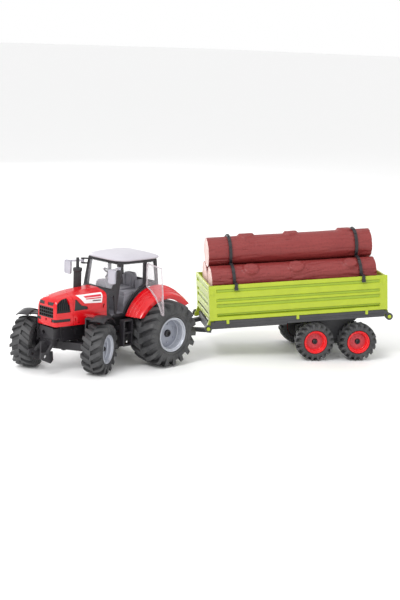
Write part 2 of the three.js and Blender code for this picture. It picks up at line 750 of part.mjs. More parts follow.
function bedFloor() {
  const inner = BED.half - BED.wall - GAP;
  const lug = (x, tip) =>
    sidePlate(
      outline([[x - 3, PEGS.z - 3], [x + 3, PEGS.z - 3], [tip + 4, BED.floor + 1], [tip - 4, BED.floor + 1]]),
      [41.4, 44.7],
    );
  const peg = (x) => acrossBar([x, PEGS.z], [42, 49.6], PEGS.radius, 12);
  const foot = (x, tip) => join(lug(x, tip), peg(x));
  return join(
    block([BED.front, BED.rear], [-inner, inner], [BED.floor, BED.floor + 2]),
    sides(join(foot(PEGS.front, BED.front + 4), foot(PEGS.rear, BED.rear - 4))),
  );
}

// The lower and upper edges of each pressed groove, measured down from the panel's top edge.
const GROOVES = [[4.5, 9.2], [16, 20.5], [22.6, 27.7], [34.2, 39]];

function bedSide(side) {
  const tabs = [0.1, 0.49, 0.88].map((share) => {
    const x = BED.front + share * (BED.rear - BED.front);
    return block([x - 1.7, x + 1.7], [47.9, BED.half], [9.6, BED.floor + 1]);
  });
  const grooves = GROOVES.map(([high, low]) =>
    block([BED.front + 7, BED.rear - 7], [BED.half - 0.8, BED.half + 1], [BED.top - low, BED.top - high]),
  );
  const made = cut(
    join(block([BED.front, BED.rear], [BED.half - BED.wall, BED.half], [BED.floor, BED.top]), ...tabs),
    ...grooves,
  );
  return side < 0 ? mirrored(made) : made;
}

// The front panel or the tailgate, between the sides and above the floor.
function bedEnd(x, facing, top) {
  const inner = BED.half - BED.wall - GAP;
  const face = facing < 0 ? x - BED.wall / 2 : x + BED.wall / 2;
  const grooves = GROOVES.map(([high, low]) =>
    block([face - 0.8, face + 0.8], [-inner + 5, inner - 5], [BED.top - low + 2, BED.top - high]),
  );
  return cut(
    block([x - BED.wall / 2, x + BED.wall / 2], [-inner, inner], [BED.floor + 2 + GAP, top]),
    ...grooves,
  );
}

piece(deck, "bed_floor", bedFloor(), "lime");
piece(deck, "bed_left_side", bedSide(-1), "lime");
piece(deck, "bed_right_side", bedSide(1), "lime");
piece(deck, "bed_front_panel", bedEnd(BED.front + BED.wall / 2, -1, BED.top), "lime");
piece(deck, "tailgate", bedEnd(BED.rear - BED.wall / 2, 1, BED.top - 1), "lime");

// ---------------------------------------------------------------- log bundle

// A log along x with three stubs of branches that lean to one side by an angle from upright.
function log(y, z, lean) {
  const length = LOG.rear - LOG.front;
  const trunk = bar([LOG.front, y, z], [LOG.rear, y, z], LOG.radius, 18);
  const away = (x, reach) => [x, y + reach * Math.sin(lean * RAD), z + reach * Math.cos(lean * RAD)];
  const stubs = STUBS.map((share) => {
    const x = LOG.front + share * length;
    return bar(away(x + 1, LOG.radius - 6), away(x - 1, LOG.radius + 2.6), 6, 8);
  });
  return join(trunk, ...stubs);
}

// The strap follows the three logs' outline and hooks over both side panels.
function strap(x) {
  const centres = [[0, LOG.topZ], [-LOG.spread, LOG.lowZ], [LOG.spread, LOG.lowZ]];
  const width = [x - 1.9, x + 1.9];
  const discs = (radius) => join(
    ...centres.map(([y, z]) => bar([width[0], y, z], [width[1], y, z], radius, 22)),
  );
  const hook = join(
    block(width, [37, BED.half + 1.7], [BED.top + GAP, BED.top + 2]),
    block(width, [BED.half + GAP, BED.half + 1.7], [BED.top - 6.3, BED.top + 2]),
  );
  const inside = frontPlate(outline(centres), [x - 5, x + 5]);
  const hollow = centres.map(([y, z]) => bar([x - 5, y, z], [x + 5, y, z], LOG.radius + 2 * GAP, 22));
  return cut(join(discs(LOG.radius + 2), sides(hook)), inside, ...hollow);
}

piece(deck, "left_log", log(-LOG.spread, LOG.lowZ, -38), "bark");
piece(deck, "right_log", log(LOG.spread, LOG.lowZ, 38), "bark");
piece(deck, "top_log", log(0, LOG.topZ, 0), "bark");
piece(deck, "front_strap", strap(STRAPS[0]), "black");
piece(deck, "rear_strap", strap(STRAPS[1]), "black");

// ---------------------------------------------------------------- origin

// The whole toy's origin is the middle of its footprint, on the ground.
toy.updateMatrixWorld(true);
const extent = new THREE.Box3().setFromObject(toy, true);
const middle = extent.getCenter(new THREE.Vector3());
toy.position.set(-middle.x, -middle.y, -extent.min.z);

export default toy;
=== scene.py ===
import json
import math
import random

import bmesh
import bpy
from mathutils import Matrix, Vector, noise


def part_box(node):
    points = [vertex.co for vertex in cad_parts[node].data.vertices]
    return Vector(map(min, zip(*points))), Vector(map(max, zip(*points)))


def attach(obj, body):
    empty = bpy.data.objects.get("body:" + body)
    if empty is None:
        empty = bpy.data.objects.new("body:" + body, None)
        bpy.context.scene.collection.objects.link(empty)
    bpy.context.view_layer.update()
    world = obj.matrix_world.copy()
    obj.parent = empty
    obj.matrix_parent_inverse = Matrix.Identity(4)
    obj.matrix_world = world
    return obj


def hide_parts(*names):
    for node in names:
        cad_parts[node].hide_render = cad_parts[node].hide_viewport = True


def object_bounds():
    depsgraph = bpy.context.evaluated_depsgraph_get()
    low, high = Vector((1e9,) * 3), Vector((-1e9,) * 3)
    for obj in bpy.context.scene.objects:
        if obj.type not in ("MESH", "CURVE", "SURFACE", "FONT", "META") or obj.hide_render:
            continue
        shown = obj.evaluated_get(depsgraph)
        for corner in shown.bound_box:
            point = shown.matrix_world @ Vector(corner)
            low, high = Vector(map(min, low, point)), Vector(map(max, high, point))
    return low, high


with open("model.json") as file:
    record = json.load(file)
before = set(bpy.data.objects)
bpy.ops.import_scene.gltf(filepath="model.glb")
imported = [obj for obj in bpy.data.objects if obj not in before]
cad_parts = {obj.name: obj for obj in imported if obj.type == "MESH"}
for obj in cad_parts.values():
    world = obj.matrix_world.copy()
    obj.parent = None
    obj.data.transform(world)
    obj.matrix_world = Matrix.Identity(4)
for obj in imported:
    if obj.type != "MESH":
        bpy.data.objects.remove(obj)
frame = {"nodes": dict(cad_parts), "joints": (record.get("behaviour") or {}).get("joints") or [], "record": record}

cad_low, cad_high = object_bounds()
MM = 0.001
X, Y, Z = Vector((1, 0, 0)), Vector((0, 1, 0)), Vector((0, 0, 1))
SIDES = (("left", -1), ("right", 1))

# ------------------------------------------------------------------ local frames

JOINTS = {joint["name"]: joint for joint in frame["joints"]}
RECORD = frame["record"]
BODY = {node: body for body, nodes in RECORD["behaviour"]["bodies"].items() for node in nodes}
SLOT = {part["node"]: part["material_slot"] for part in RECORD["subparts"]}


def origin_of(joint):
    return Vector(JOINTS[joint]["pos_m"])


def axis_of(joint):
    return Vector(JOINTS[joint]["axis"])


def local_frame(origin, y_axis=Y, z_axis=Z):
    """The matrix from local millimetres to the model's metres."""
    turn = Matrix((y_axis.cross(z_axis), y_axis, z_axis)).transposed().to_4x4()
    return Matrix.Translation(origin) @ turn @ Matrix.Scale(MM, 4)


def moved(where, offset, degrees=0):
    """A frame moved by offset inside another and then turned about its own z axis."""
    return where @ Matrix.Translation(offset) @ Matrix.Rotation(math.radians(degrees), 4, "Z")


REAR_AXLE = local_frame(origin_of("rear_axle_turn"))
TRACTOR = local_frame(Vector((*origin_of("rear_axle_turn").xy, 0)))
FRONT_AXLE = local_frame(origin_of("steering"), axis_of("front_left_wheel_turn"))
DECK = local_frame(origin_of("hitch_swivel"), axis_of("bed_tip"), axis_of("log_load_lift"))

# ------------------------------------------------------------------ camera


def camera():
    """The toy seen from its front left, a little from above, with a slight roll."""
    place, azimuth, elevation, roll = (-1.1012, -1.0782, 0.3813), -44.88, 10.95, 2.1
    data = bpy.data.cameras.new("camera")
    data.lens = 77.8
    data.shift_y = -0.0157
    made = bpy.data.objects.new("camera", data)
    turn = Matrix.Rotation(math.radians(azimuth), 4, "Z")
    turn @= Matrix.Rotation(math.radians(90 - elevation), 4, "X")
    turn @= Matrix.Rotation(math.radians(roll), 4, "Z")
    made.matrix_world = Matrix.Translation(place) @ turn
    bpy.context.scene.collection.objects.link(made)
    bpy.context.scene.camera = made


camera()

# ------------------------------------------------------------------ materials


def linear(colour):
    """An sRGB colour in 0 to 255 as a linear one."""
    return tuple(((c / 255 + 0.055) / 1.055) ** 2.4 if c > 10 else c / 255 / 12.92 for c in colour)


class Look:
    """A Principled material whose colour, roughness and bump come from noise in the object's metres."""

    def __init__(self, name, roughness=0.5, metallic=0.0, coat=0.0, specular=0.5):
        self.material = bpy.data.materials.new(name)
        self.material.use_nodes = True
        self.nodes = self.material.node_tree.nodes
        self.shader = self.nodes["Principled BSDF"]
        for socket, value in (
            ("Roughness", roughness), ("Metallic", metallic), ("Coat Weight", coat),
            ("Specular IOR Level", specular),
        ):
            self.shader.inputs[socket].default_value = value
        self.place = self.node("ShaderNodeTexCoord").outputs["Object"]

    def node(self, kind, **settings):
        made = self.nodes.new(kind)
        for key, value in settings.items():
            if hasattr(made, key):
                setattr(made, key, value)
            else:
                made.inputs[key.replace("_", " ").title()].default_value = value
        return made

    def link(self, source, target):
        self.material.node_tree.links.new(source, target)

    def noise(self, scale, detail=3):
        made = self.node("ShaderNodeTexNoise", scale=scale, detail=detail)
        self.link(self.place, made.inputs["Vector"])
        return made.outputs["Fac"]

    def spread(self, source, low, high, start=0.3, end=0.7):
        made = self.node("ShaderNodeMapRange")
        for socket, value in (("From Min", start), ("From Max", end), ("To Min", low), ("To Max", high)):
            made.inputs[socket].default_value = value
        self.link(source, made.inputs["Value"])
        return made.outputs["Result"]

    def blend(self, factor, low, high):
        """A colour between two, by a factor."""
        made = self.node("ShaderNodeMix", data_type="RGBA")
        for socket, value in ((6, low), (7, high)):
            if isinstance(value, tuple):
                made.inputs[socket].default_value = (*value, 1)
            else:
                self.link(value, made.inputs[socket])
        self.link(factor, made.inputs[0])
        return made.outputs[2]

    def paint(self, socket, source):
        self.link(source, self.shader.inputs[socket])

    def bump(self, height, depth_mm, strength=1.0):
        made = self.node("ShaderNodeBump")
        made.inputs["Strength"].default_value = strength
        made.inputs["Distance"].default_value = depth_mm * MM
        self.link(height, made.inputs["Height"])
        previous = self.shader.inputs["Normal"].links
        if previous:
            self.link(previous[0].from_socket, made.inputs["Normal"])
        self.link(made.outputs["Normal"], self.shader.inputs["Normal"])


def moulded(name, colour, roughness, texture=0.02, variation=0.08, metallic=0.0, coat=0.0):
    """Moulded plastic: a faint mottle, flow marks, fine scuffs and a slight orange peel."""
    look = Look(name, roughness, metallic, coat)
    base = linear(colour)
    mottle = look.noise(90, 4)
    darker = tuple(c * (1 - variation) for c in base)
    lighter = tuple(min(1, c * (1 + variation)) for c in base)
    look.paint("Base Color", look.blend(look.spread(mottle, 0, 1), darker, lighter))
    scuffs = look.noise(420, 5)
    look.paint("Roughness", look.spread(scuffs, roughness * 0.88, min(1, roughness * 1.15)))
    look.bump(look.noise(1400, 2), texture)
    look.bump(look.noise(160, 2), texture * 3, 0.4)
    return look.material


def rubber():
    """Dull moulded rubber-like plastic with a fine pebble and dust in its hollows."""
    look = Look("tyre_rubber", 0.62, specular=0.45)
    dust = look.spread(look.noise(70, 5), 0, 1, 0.35, 0.75)
    look.paint("Base Color", look.blend(dust, linear((58, 58, 60)), linear((78, 78, 79))))
    look.paint("Roughness", look.spread(look.noise(500, 4), 0.5, 0.72))
    look.bump(look.noise(1900, 3), 0.05)
    return look.material


def clear_plastic(name, tint, face, edge):
    """Clear moulding: nearly invisible square on, and milky where it is seen at a grazing angle."""
    look = Look(name, 0.08)
    haze = look.noise(120, 3)
    base = linear(tint)
    look.paint("Base Color", look.blend(haze, tuple(c * 0.92 for c in base), base))
    look.paint("Roughness", look.spread(look.noise(600, 3), 0.05, 0.14))
    grazing = look.node("ShaderNodeLayerWeight", blend=0.35)
    look.paint("Alpha", look.spread(grazing.outputs["Facing"], face, edge, 0.0, 1.0))
    look.bump(look.noise(60, 1), 0.05, 0.5)
    return look.material


def bark():
    """Log plastic: long grain lines, with darker streaks that are partly grain and partly painted shade for the
    furrows.
    """
    look = Look("log_bark", 0.5)
    grain_and_furrow_shade = look.noise(500, 4)
    patches = look.spread(look.noise(30, 3), 0, 1)
    lit = look.blend(patches, linear((130, 44, 44)), linear((138, 52, 50)))
    # Darker streaks from the noise mask: part grain colour, part painted shade standing for shade in the furrows;
    # lit is the unshaded colour.
    look.paint("Base Color", look.blend(look.spread(grain_and_furrow_shade, 0, 1, 0.2, 0.5), linear((112, 34, 34)), lit))
    look.paint("Roughness", look.spread(grain_and_furrow_shade, 0.42, 0.55))
    look.bump(look.noise(900, 4), 0.05)
    return look.material


RED = moulded("red_gloss", (208, 6, 20), 0.22, texture=0.012, coat=0.2)
LIME = moulded("lime_satin", (170, 186, 44), 0.32, variation=0.05)
BLACK = moulded("black_satin", (38, 36, 40), 0.42)
RAIL_BLACK = moulded("rail_black", (62, 62, 65), 0.5)
SILVER = moulded("silver_paint", (184, 187, 196), 0.3, metallic=0.25)
SILVER_DISC = moulded("silver_disc", (150, 153, 164), 0.4, metallic=0.25)
GREY = moulded("interior_grey", (150, 148, 156), 0.5)
ROOF = moulded("roof_grey", (190, 187, 195), 0.32, variation=0.03)
DARK = moulded("vent_black", (30, 32, 34), 0.35)
TRAILER_RED = moulded("trailer_rim_red", (226, 30, 36), 0.26)
LOG_END = moulded("log_end", (232, 196, 190), 0.55, texture=0.05)
STICKER = moulded("sticker_white", (238, 232, 232), 0.35, variation=0.02)
STICKER_RED = moulded("sticker_red", (206, 40, 60), 0.35)
STICKER_GREY = moulded("sticker_grey", (92, 60, 66), 0.35)
STEEL = moulded("steel", (170, 170, 172), 0.35, metallic=0.9)
GRILLE_RED = moulded("grille_dark_red", (92, 14, 24), 0.35)
# Painted shade: a darker lime laid on the floors of the lime panels' grooves, where shade falls.
LIME_PAINTED_SHADE = moulded("lime_painted_shade", (150, 174, 42), 0.4, variation=0.05)
# Painted shadow: dark lines laid along the top and foot of each groove in the lime panels.
LIME_PAINTED_SHADOW_LINE = moulded("lime_painted_shadow_line", (100, 120, 36), 0.5, variation=0.05)
RIM_DISC = moulded("trailer_disc_red", (196, 62, 72), 0.42)
TYRE = rubber()
BARK = bark()
GLASS = clear_plastic("clear_window", (226, 228, 234), 0.04, 0.45)
DOOR_GLASS = clear_plastic("clear_door", (232, 228, 232), 0.03, 0.3)
DOOR_RIM = clear_plastic("clear_door_rim", (214, 202, 208), 0.28, 0.75)
MIRROR = clear_plastic("milky_mirror", (198, 197, 208), 0.7, 0.95)

# ------------------------------------------------------------------ mesh building


def middle_of(outline):
    return sum((Vector(p) for p in outline), Vector((0, 0))) / len(outline)


def reach(hand, near, far):
    """From near to far on one side of the middle, lowest first."""
    return sorted((hand * near, hand * far))


def on_plane(plane, u, v, w):
    """A point drawn from the side (x, z), above (x, y) or the front (y, z), at a depth w."""
    placed = [0, 0, 0]
    for axis, value in zip({"side": (0, 2, 1), "plan": (0, 1, 2), "front": (1, 2, 0)}[plane], (u, v, w)):
        placed[axis] = value
    return placed


class Mould:
    """Closed shapes in one local frame, which become one piece."""

    def __init__(self, where):
        self.where = where
        self.bm = bmesh.new()
        self.paint = 0

    def face(self, corners):
        made = self.bm.faces.new(corners)
        made.material_index = self.paint
        return made

    def verts(self, points):
        return [self.bm.verts.new(p) for p in points]

    def strip(self, one, other):
        """Quads between two rows of as many vertices."""
        for corners in zip(one, one[1:], other[1:], other):
            self.face(corners)

    def rings(self, rings, loop=False, closed=True, caps=True):
        """A skin over rings of points. closed joins each ring's ends, and loop the last ring to the first."""
        made = [self.verts(ring) for ring in rings]
        for one, other in zip(made, made[1:] + made[:1] if loop else made[1:]):
            tail = 1 if closed else 0
            self.strip(one + one[:tail], other + other[:tail])
        if caps and not loop:
            self.face(made[0][::-1])
            self.face(made[-1])
        return self

    def prism(self, outline, low, high, plane="side"):
        """An outline with thickness, drawn on one of on_plane's planes."""
        return self.rings([[on_plane(plane, u, v, w) for u, v in outline] for w in (low, high)])

    def box(self, xs, ys, zs):
        corners = [(xs[0], ys[0]), (xs[1], ys[0]), (xs[1], ys[1]), (xs[0], ys[1])]
        return self.prism(corners, *zs, plane="plan")

    def lathe(self, profile, steps=48, at=(0, 0, 0), axis="y", closed=False):
        """(radius, height) points turned about an axis. A profile that isn't closed starts and ends on it."""
        def place(radius, height, angle):
            u, v = radius * math.cos(angle), radius * math.sin(angle)
            point = {"x": (height, u, v), "y": (u, height, v), "z": (u, v, height)}[axis]
            return [a + b for a, b in zip(point, at)]

        angles = [2 * math.pi * i / steps for i in range(steps)]
        rings = [[place(r, h, a) for r, h in profile] for a in angles]
        return self.rings(rings, loop=True, closed=closed)

    def tube(self, points, radius, sides=12, loop=False):
        """A round bar along points."""
        path = [Vector(p) for p in points]
        count = len(path)
        rings = []
        side = None
        for i, p in enumerate(path):
            after = path[(i + 1) % count] if loop or i + 1 < count else p
            before = path[i - 1] if loop or i else p
            along = (after - before).normalized()
            if side is None:
                side = along.orthogonal()
            side = (side - along * side.dot(along)).normalized()
            other = along.cross(side)
            ring = []
            for k in range(sides):
                angle = 2 * math.pi * k / sides
                ring.append(p + radius * (math.cos(angle) * side + math.sin(angle) * other))
            rings.append(ring)
        return self.rings(rings, loop=loop)

    def border(self, outline, width, low, high, plane="side"):
        """A frame of the given width just inside an outline."""
        middle = middle_of(outline)
        count = len(outline)
        inner = []
        for i, p in enumerate(outline):
            p = Vector(p)
            before = (p - Vector(outline[i - 1])).normalized()
            after = (Vector(outline[(i + 1) % count]) - p).normalized()
            normal = Vector((-(before + after).y, (before + after).x)).normalized()
            if normal.dot(middle - p) < 0:
                normal.negate()
            half = max(0.5, math.cos(before.angle(after, 0) / 2))
            inner.append(p + normal * width / half)
        rings = []
        for p, q in zip(outline, inner):
            rings.append([on_plane(plane, *uv, w) for uv, w in ((p, low), (p, high), (q, high), (q, low))])
        return self.rings(rings, loop=True)

    def mesh(self, name):
        bmesh.ops.remove_doubles(self.bm, verts=self.bm.verts, dist=1e-4)
        bmesh.ops.dissolve_degenerate(self.bm, edges=self.bm.edges, dist=1e-5)
        bmesh.ops.recalc_face_normals(self.bm, faces=self.bm.faces)
        made = bpy.data.meshes.new(name)
        self.bm.to_mesh(made)
        self.bm.free()
        made.transform(self.where)
        return made

    def piece(self, name, node, looks, replaces=(), bevel=0.0, segments=2, **finish):
        """The finished piece, riding and finished like a CAD node, and standing for the replaced ones."""
        return dressed(self.mesh(name), name, node, looks, replaces, bevel, segments, **finish)


def dressed(mesh, name, node, looks, replaces=(), bevel=0.0, segments=2, slot=None, sharp=35):
    """An object for a mesh, with its looks, rounded edges, body and replaced CAD nodes. Its slot is not used."""
    made = bpy.data.objects.new(name, mesh)
    bpy.context.scene.collection.objects.link(made)
    for look in looks if isinstance(looks, (list, tuple)) else [looks]:
        mesh.materials.append(look)
    mesh.shade_smooth()
    if bevel:
        rounding = made.modifiers.new("rounding", "BEVEL")
        rounding.width = bevel * MM
        rounding.segments = segments
        rounding.limit_method = "ANGLE"
        rounding.angle_limit = math.radians(sharp)
        rounding.harden_normals = True
    else:
        mesh.set_sharp_from_angle(angle=math.radians(sharp))
    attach(made, BODY[node])
    slot or SLOT[node]
    if replaces:
        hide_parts(*([replaces] if isinstance(replaces, str) else replaces))
    return made


def softened(node, look, bevel=0.35, segments=2, sharp=25):
    """A copy of a CAD piece with its flat faces merged and its edges rounded."""
    source = frame["nodes"][node].data
    bm = bmesh.new()
    bm.from_mesh(source)
    bmesh.ops.remove_doubles(bm, verts=bm.verts, dist=1e-6)
    bmesh.ops.dissolve_limit(bm, angle_limit=math.radians(1), verts=bm.verts, edges=bm.edges)
    mesh = bpy.data.meshes.new(node + "_soft")
    bm.to_mesh(mesh)
    bm.free()
    dressed(mesh, node + "_soft", node, look, node, bevel, segments, sharp=sharp)


def carved(piece, cutter):
    """Cuts a mould's shapes out of a piece's mesh."""
    tool = bpy.data.objects.new("cutter", cutter.mesh("cutter"))
    bpy.context.scene.collection.objects.link(tool)
    boolean = piece.modifiers.new("carve", "BOOLEAN")
    boolean.operation = "DIFFERENCE"
    boolean.solver = "EXACT"
    boolean.use_self = True
    boolean.object = tool
    bpy.context.view_layer.update()
    evaluated = piece.evaluated_get(bpy.context.evaluated_depsgraph_get())
    result = bpy.data.meshes.new_from_object(evaluated)
    piece.modifiers.clear()
    piece.data = result
    bpy.data.objects.remove(tool)
    result.shade_smooth()
    result.set_sharp_from_angle(angle=math.radians(35))


def rounded(outline, radius, steps=4):
    """An outline with its corners rounded by arcs."""
    made = []
    for i, corner in enumerate(outline):
        corner = Vector(corner)
        before, after = Vector(outline[i - 1]) - corner, Vector(outline[(i + 1) % len(outline)]) - corner
        back = min(radius, before.length / 2.1, after.length / 2.1)
        start, end = corner + before.normalized() * back, corner + after.normalized() * back
        for k in range(steps + 1):
            t = k / steps
            made.append(tuple((1 - t) ** 2 * start + 2 * t * (1 - t) * corner + t * t * end))
    return made


def smooth(t):
    """0 below 0, 1 above 1, and an even curve between."""
    t = min(1, max(0, t))
    return t * t * (3 - 2 * t)


def mix(a, b, t):
    return a + (b - a) * t


# ------------------------------------------------------------------ wheels


class Wheel:
    """A wheel's sizes. Its two radii are read from its CAD tyre and rim, and skew is in degrees."""

    def __init__(self, tyre, width, lugs, depth, shoulder, skew, dish, hub):
        low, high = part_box(tyre)
        rim_low, rim_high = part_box(tyre.replace("_tyre", "_rim"))
        self.radius = (high.z - low.z) / 2 / MM
        self.lip = (rim_high.z - rim_low.z) / 2 / MM
        self.width, self.lugs, self.depth, self.shoulder = width, lugs, depth, shoulder
        self.skew, self.dish, self.hub = skew, dish, hub


REAR = Wheel("rear_left_tyre", width=38, lugs=18, depth=4.6, shoulder=4.4, skew=15, dish=11, hub=4.6)
FRONT = Wheel("front_left_tyre", width=24.8, lugs=16, depth=3.2, shoulder=3.2, skew=15, dish=7, hub=3.0)
CART = Wheel("trailer_front_left_tyre", width=21, lugs=18, depth=3.3, shoulder=2, skew=10, dish=6.5, hub=3.3)
LUG_STATIONS = (-0.06, 0.2, 0.5, 0.78, 0.94, 1.0)  # shares of the way from the middle to the sidewall


def tyre(name, node, where, wheel):
    """A carcass with ringed sidewalls and bars in a chevron that wrap over its shoulders."""
    mould = Mould(where)
    half, groove, bead = wheel.width / 2, wheel.radius - wheel.depth, wheel.lip + 0.35
    wall = groove - wheel.shoulder - bead
    side = [
        (bead, half - 2.2), (bead + 0.3, half - 0.9), (bead + 1.2, half - 0.3), (bead + 2.2, half - 0.5),
        (bead + 2.8, half - 1.2), (bead + 3.4, half - 0.9), (bead + wall * 0.55, half - 0.35),
        (bead + wall * 0.85, half - 0.6), (bead + wall, half - 1.3),
        (groove - wheel.shoulder * 0.45, half * 0.86), (groove - wheel.shoulder * 0.12, half * 0.62),
        (groove, half * 0.25),
    ]
    profile = side + [(r, -y) for r, y in reversed(side)]
    mould.lathe(profile, wheel.lugs * 6, closed=True)
    pitch = 2 * math.pi / wheel.lugs
    skew = math.radians(wheel.skew)
    for hand in (-1, 1):
        for i in range(wheel.lugs):
            middle = i * pitch + (pitch / 2 if hand > 0 else 0)
            rings = []
            for t in LUG_STATIONS:
                drop = wheel.shoulder * max(0, t) ** 3.2
                top, base = wheel.radius - 0.4 * drop, groove - drop - 1.6
                if t == 1.0:
                    top, base = top - 0.9, base - wall * 0.4
                y = hand * (half - 0.1) * t
                along = middle + skew * max(0, t) ** 1.15
                thick = pitch * mix(0.27, 0.19, abs(t))
                rings.append([
                    (r * math.cos(along + a), y, r * math.sin(along + a))
                    for r, a in ((base, -thick * 1.35), (top, -thick), (top, thick), (base, thick * 1.35))
                ])
            mould.rings(rings)
    mould.piece(name, node, TYRE, node, bevel=0.35, sharp=40)


def rim(name, node, where, wheel, look, disc_look):
    """A dished rim with a stepped lip, a disc with wheel bolts, a black back and a hollow-ended hub."""
    mould = Mould(where)
    half = wheel.width / 2 - 1
    web, lip = half - wheel.dish, wheel.lip
    disc = lip - 4.2
    mould.lathe([
        (3.4, web - 2), (disc, web - 2), (lip - 2, web - 4), (lip - 2, -half + 1), (lip - 1, -half),
        (lip, -half + 0.6), (lip, half - 0.5), (lip - 0.5, half), (lip - 1.3, half), (lip - 1.8, half - 0.6),
        (lip - 2.1, half - 1.8), (lip - 3.2, half - 2.4), (disc + 0.7, web + 0.9), (disc, web + 0.2),
        (disc * 0.82, web), (disc * 0.8, web + 0.5), (disc * 0.5, web + 0.5), (disc * 0.46, web), (3.4, web),
    ], 72, closed=True)
    mould.paint = 1
    mould.lathe([(3.6, web + 0.1), (3.6, web + 0.56), (disc - 0.4, web + 0.56), (disc + 0.2, web + 0.1)], 72,
                closed=True)
    bolts = 9 if wheel is CART else 6
    for i in range(bolts):
        angle = 2 * math.pi * (i + 0.5) / bolts
        at = (disc * 0.66 * math.cos(angle), web, disc * 0.66 * math.sin(angle))
        size = lip * 0.05
        mould.lathe([(0, -1), (size, -1), (size, 1.1), (size * 0.7, 1.6), (0, 1.65)], 8, at)
    mould.piece(name, node, [look, disc_look], node, bevel=0.15, sharp=40)
    back = Mould(where)
    back.lathe([(3.6, -half - 0.4), (lip - 0.1, -half - 0.4), (lip - 0.1, 0.4 - half), (3.6, 0.4 - half)], 48,
               closed=True)
    back.piece(name + "_back", node, BLACK, bevel=0.3, slot="black_plastic")
    hub = Mould(where)
    size = wheel.hub
    hub.lathe([
        (0, web - 3), (size * 0.95, web - 3), (size, web + 0.4), (size * 0.9, web + 2.6),
        (size * 0.72, web + 3.1), (size * 0.55, web + 2.9), (size * 0.5, web + 1.2), (0, web + 1.2),
    ], 36)
    hub.piece(name + "_hub", node, BLACK, bevel=0.1, slot="black_plastic")


def wheel_pair(prefix, where, wheel, look, disc_look):
    """Both wheels of an axle. The CAD boxes say how far out they stand."""
    for side, hand in SIDES:
        node = f"{prefix}_{side}"
        low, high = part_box(node + "_tyre")
        centre = where.inverted() @ ((low + high) / 2)
        place = moved(where, (0, centre.y, 0), 180 if hand < 0 else 0)
        tyre(node + "_tread", node + "_tyre", place, wheel)
        rim(node + "_wheel", node + "_rim", place, wheel, look, disc_look)


wheel_pair("rear", REAR_AXLE, REAR, SILVER, SILVER_DISC)
wheel_pair("front", FRONT_AXLE, FRONT, SILVER, SILVER_DISC)
for name in ("trailer_front", "trailer_rear"):
    joint = name + "_axle_turn"
    wheel_pair(name, local_frame(origin_of(joint), axis_of(joint)), CART, TRAILER_RED, RIM_DISC)

# ------------------------------------------------------------------ bonnet

HOOD = {"front": -134.5, "rear": -66.5, "split": -111.0, "gap": 0.35}
NOSE_HALF, REAR_HALF = 16.9, 25.7
NOSE_TOP, REAR_TOP, SILL = 88.2, 93.3, 56.0
SHOULDER = 9.5  # height of the rounded shoulder below the bonnet's top
RIDGE = 0.9  # height of the raised panel along the bonnet's middle


def hood_half(x):
    """Half the bonnet's width at x, with rounded nose corners."""
    straight = NOSE_HALF + (x + 131.5) * (REAR_HALF - NOSE_HALF) / 65
    corner = max(0, 1 - (x - HOOD["front"]) / 2.6)
    return straight - 1.9 * corner ** 2.2


def hood_top(x):
    """The height of the bonnet's middle line at x, slightly crowned and rounded down at the nose."""
    crown = 1.1 * math.sin(math.pi * smooth((x - HOOD["front"]) / (HOOD["rear"] - HOOD["front"])))
    straight = NOSE_TOP + (x + 129) * (REAR_TOP - NOSE_TOP) / 62.5 + crown
    corner = max(0, 1 - (x - HOOD["front"]) / 6.5)
    return straight - 5.2 * corner ** 2.4


def hood_bottom(x):
    """The height of the sill at x, which steps up behind the front axle."""
    return SILL + 5.2 * smooth((x + 97) / 10) + 0.8 * smooth((x + 86) / 20)


def hood_y(x, z, proud=0.0):
    """The skin's distance from the middle at a height."""
    half, top = hood_half(x) + proud, hood_top(x) + proud
    knee = top - SHOULDER
    if z <= knee:
        return half * (1 + 0.0012 * (knee - z))
    return half * max(0, 1 - ((z - knee) / SHOULDER) ** 3) ** (1 / 3)


def hood_ring(x, inset=0.0):
    """The skin at x, from the left sill over the top to the right sill."""
    half, top, low = hood_half(x) - inset, hood_top(x) - inset, hood_bottom(x)
    knee = top - SHOULDER
    side = [(hood_y(x, z, -inset), z) for z in (low, mix(low, knee, 0.33), mix(low, knee, 0.66))]
    for k in range(15):
        angle = math.pi / 2 * k / 14
        y, rise = half * math.cos(angle) ** (2 / 3), SHOULDER * math.sin(angle) ** (2 / 3)
        ridge = RIDGE * smooth((half * 0.46 - y) / 1.6) * smooth((x + 131) / 8) if not inset else 0
        side.append((y, knee + rise + ridge))
    side[-1] = (0, side[-1][1])
    return [(x, -y, z) for y, z in side[:-1]] + [(x, y, z) for y, z in reversed(side)]


def hood_shell(name, node, start, end, closed_front):
    """A skin 2 mm thick between two places along the bonnet, open below."""
    mould = Mould(TRACTOR)
    wall = 2.0
    steps = [start + (end - start) * (k / 18) ** (2.2 if closed_front else 1) for k in range(19)]
    outer = [hood_ring(x) for x in steps]
    inset = wall if closed_front else 0
    inner = [hood_ring(x + inset * (end - x) / (end - start), wall) for x in steps]
    outside = [mould.verts(ring) for ring in outer]
    inside = [mould.verts(ring) for ring in inner]
    for skin in (outside, inside):
        for one, other in zip(skin, skin[1:]):
            mould.strip(one, other)
        if closed_front:
            mould.face(skin[0])
    for k in [-1] if closed_front else [0, -1]:
        mould.strip(outside[k], inside[k])
    for k in (0, -1):
        mould.strip([ring[k] for ring in outside], [ring[k] for ring in inside])
    if closed_front:
        mould.face((outside[0][0], outside[0][-1], inside[0][-1], inside[0][0]))
    return mould.piece(name, node, RED, node, sharp=38)


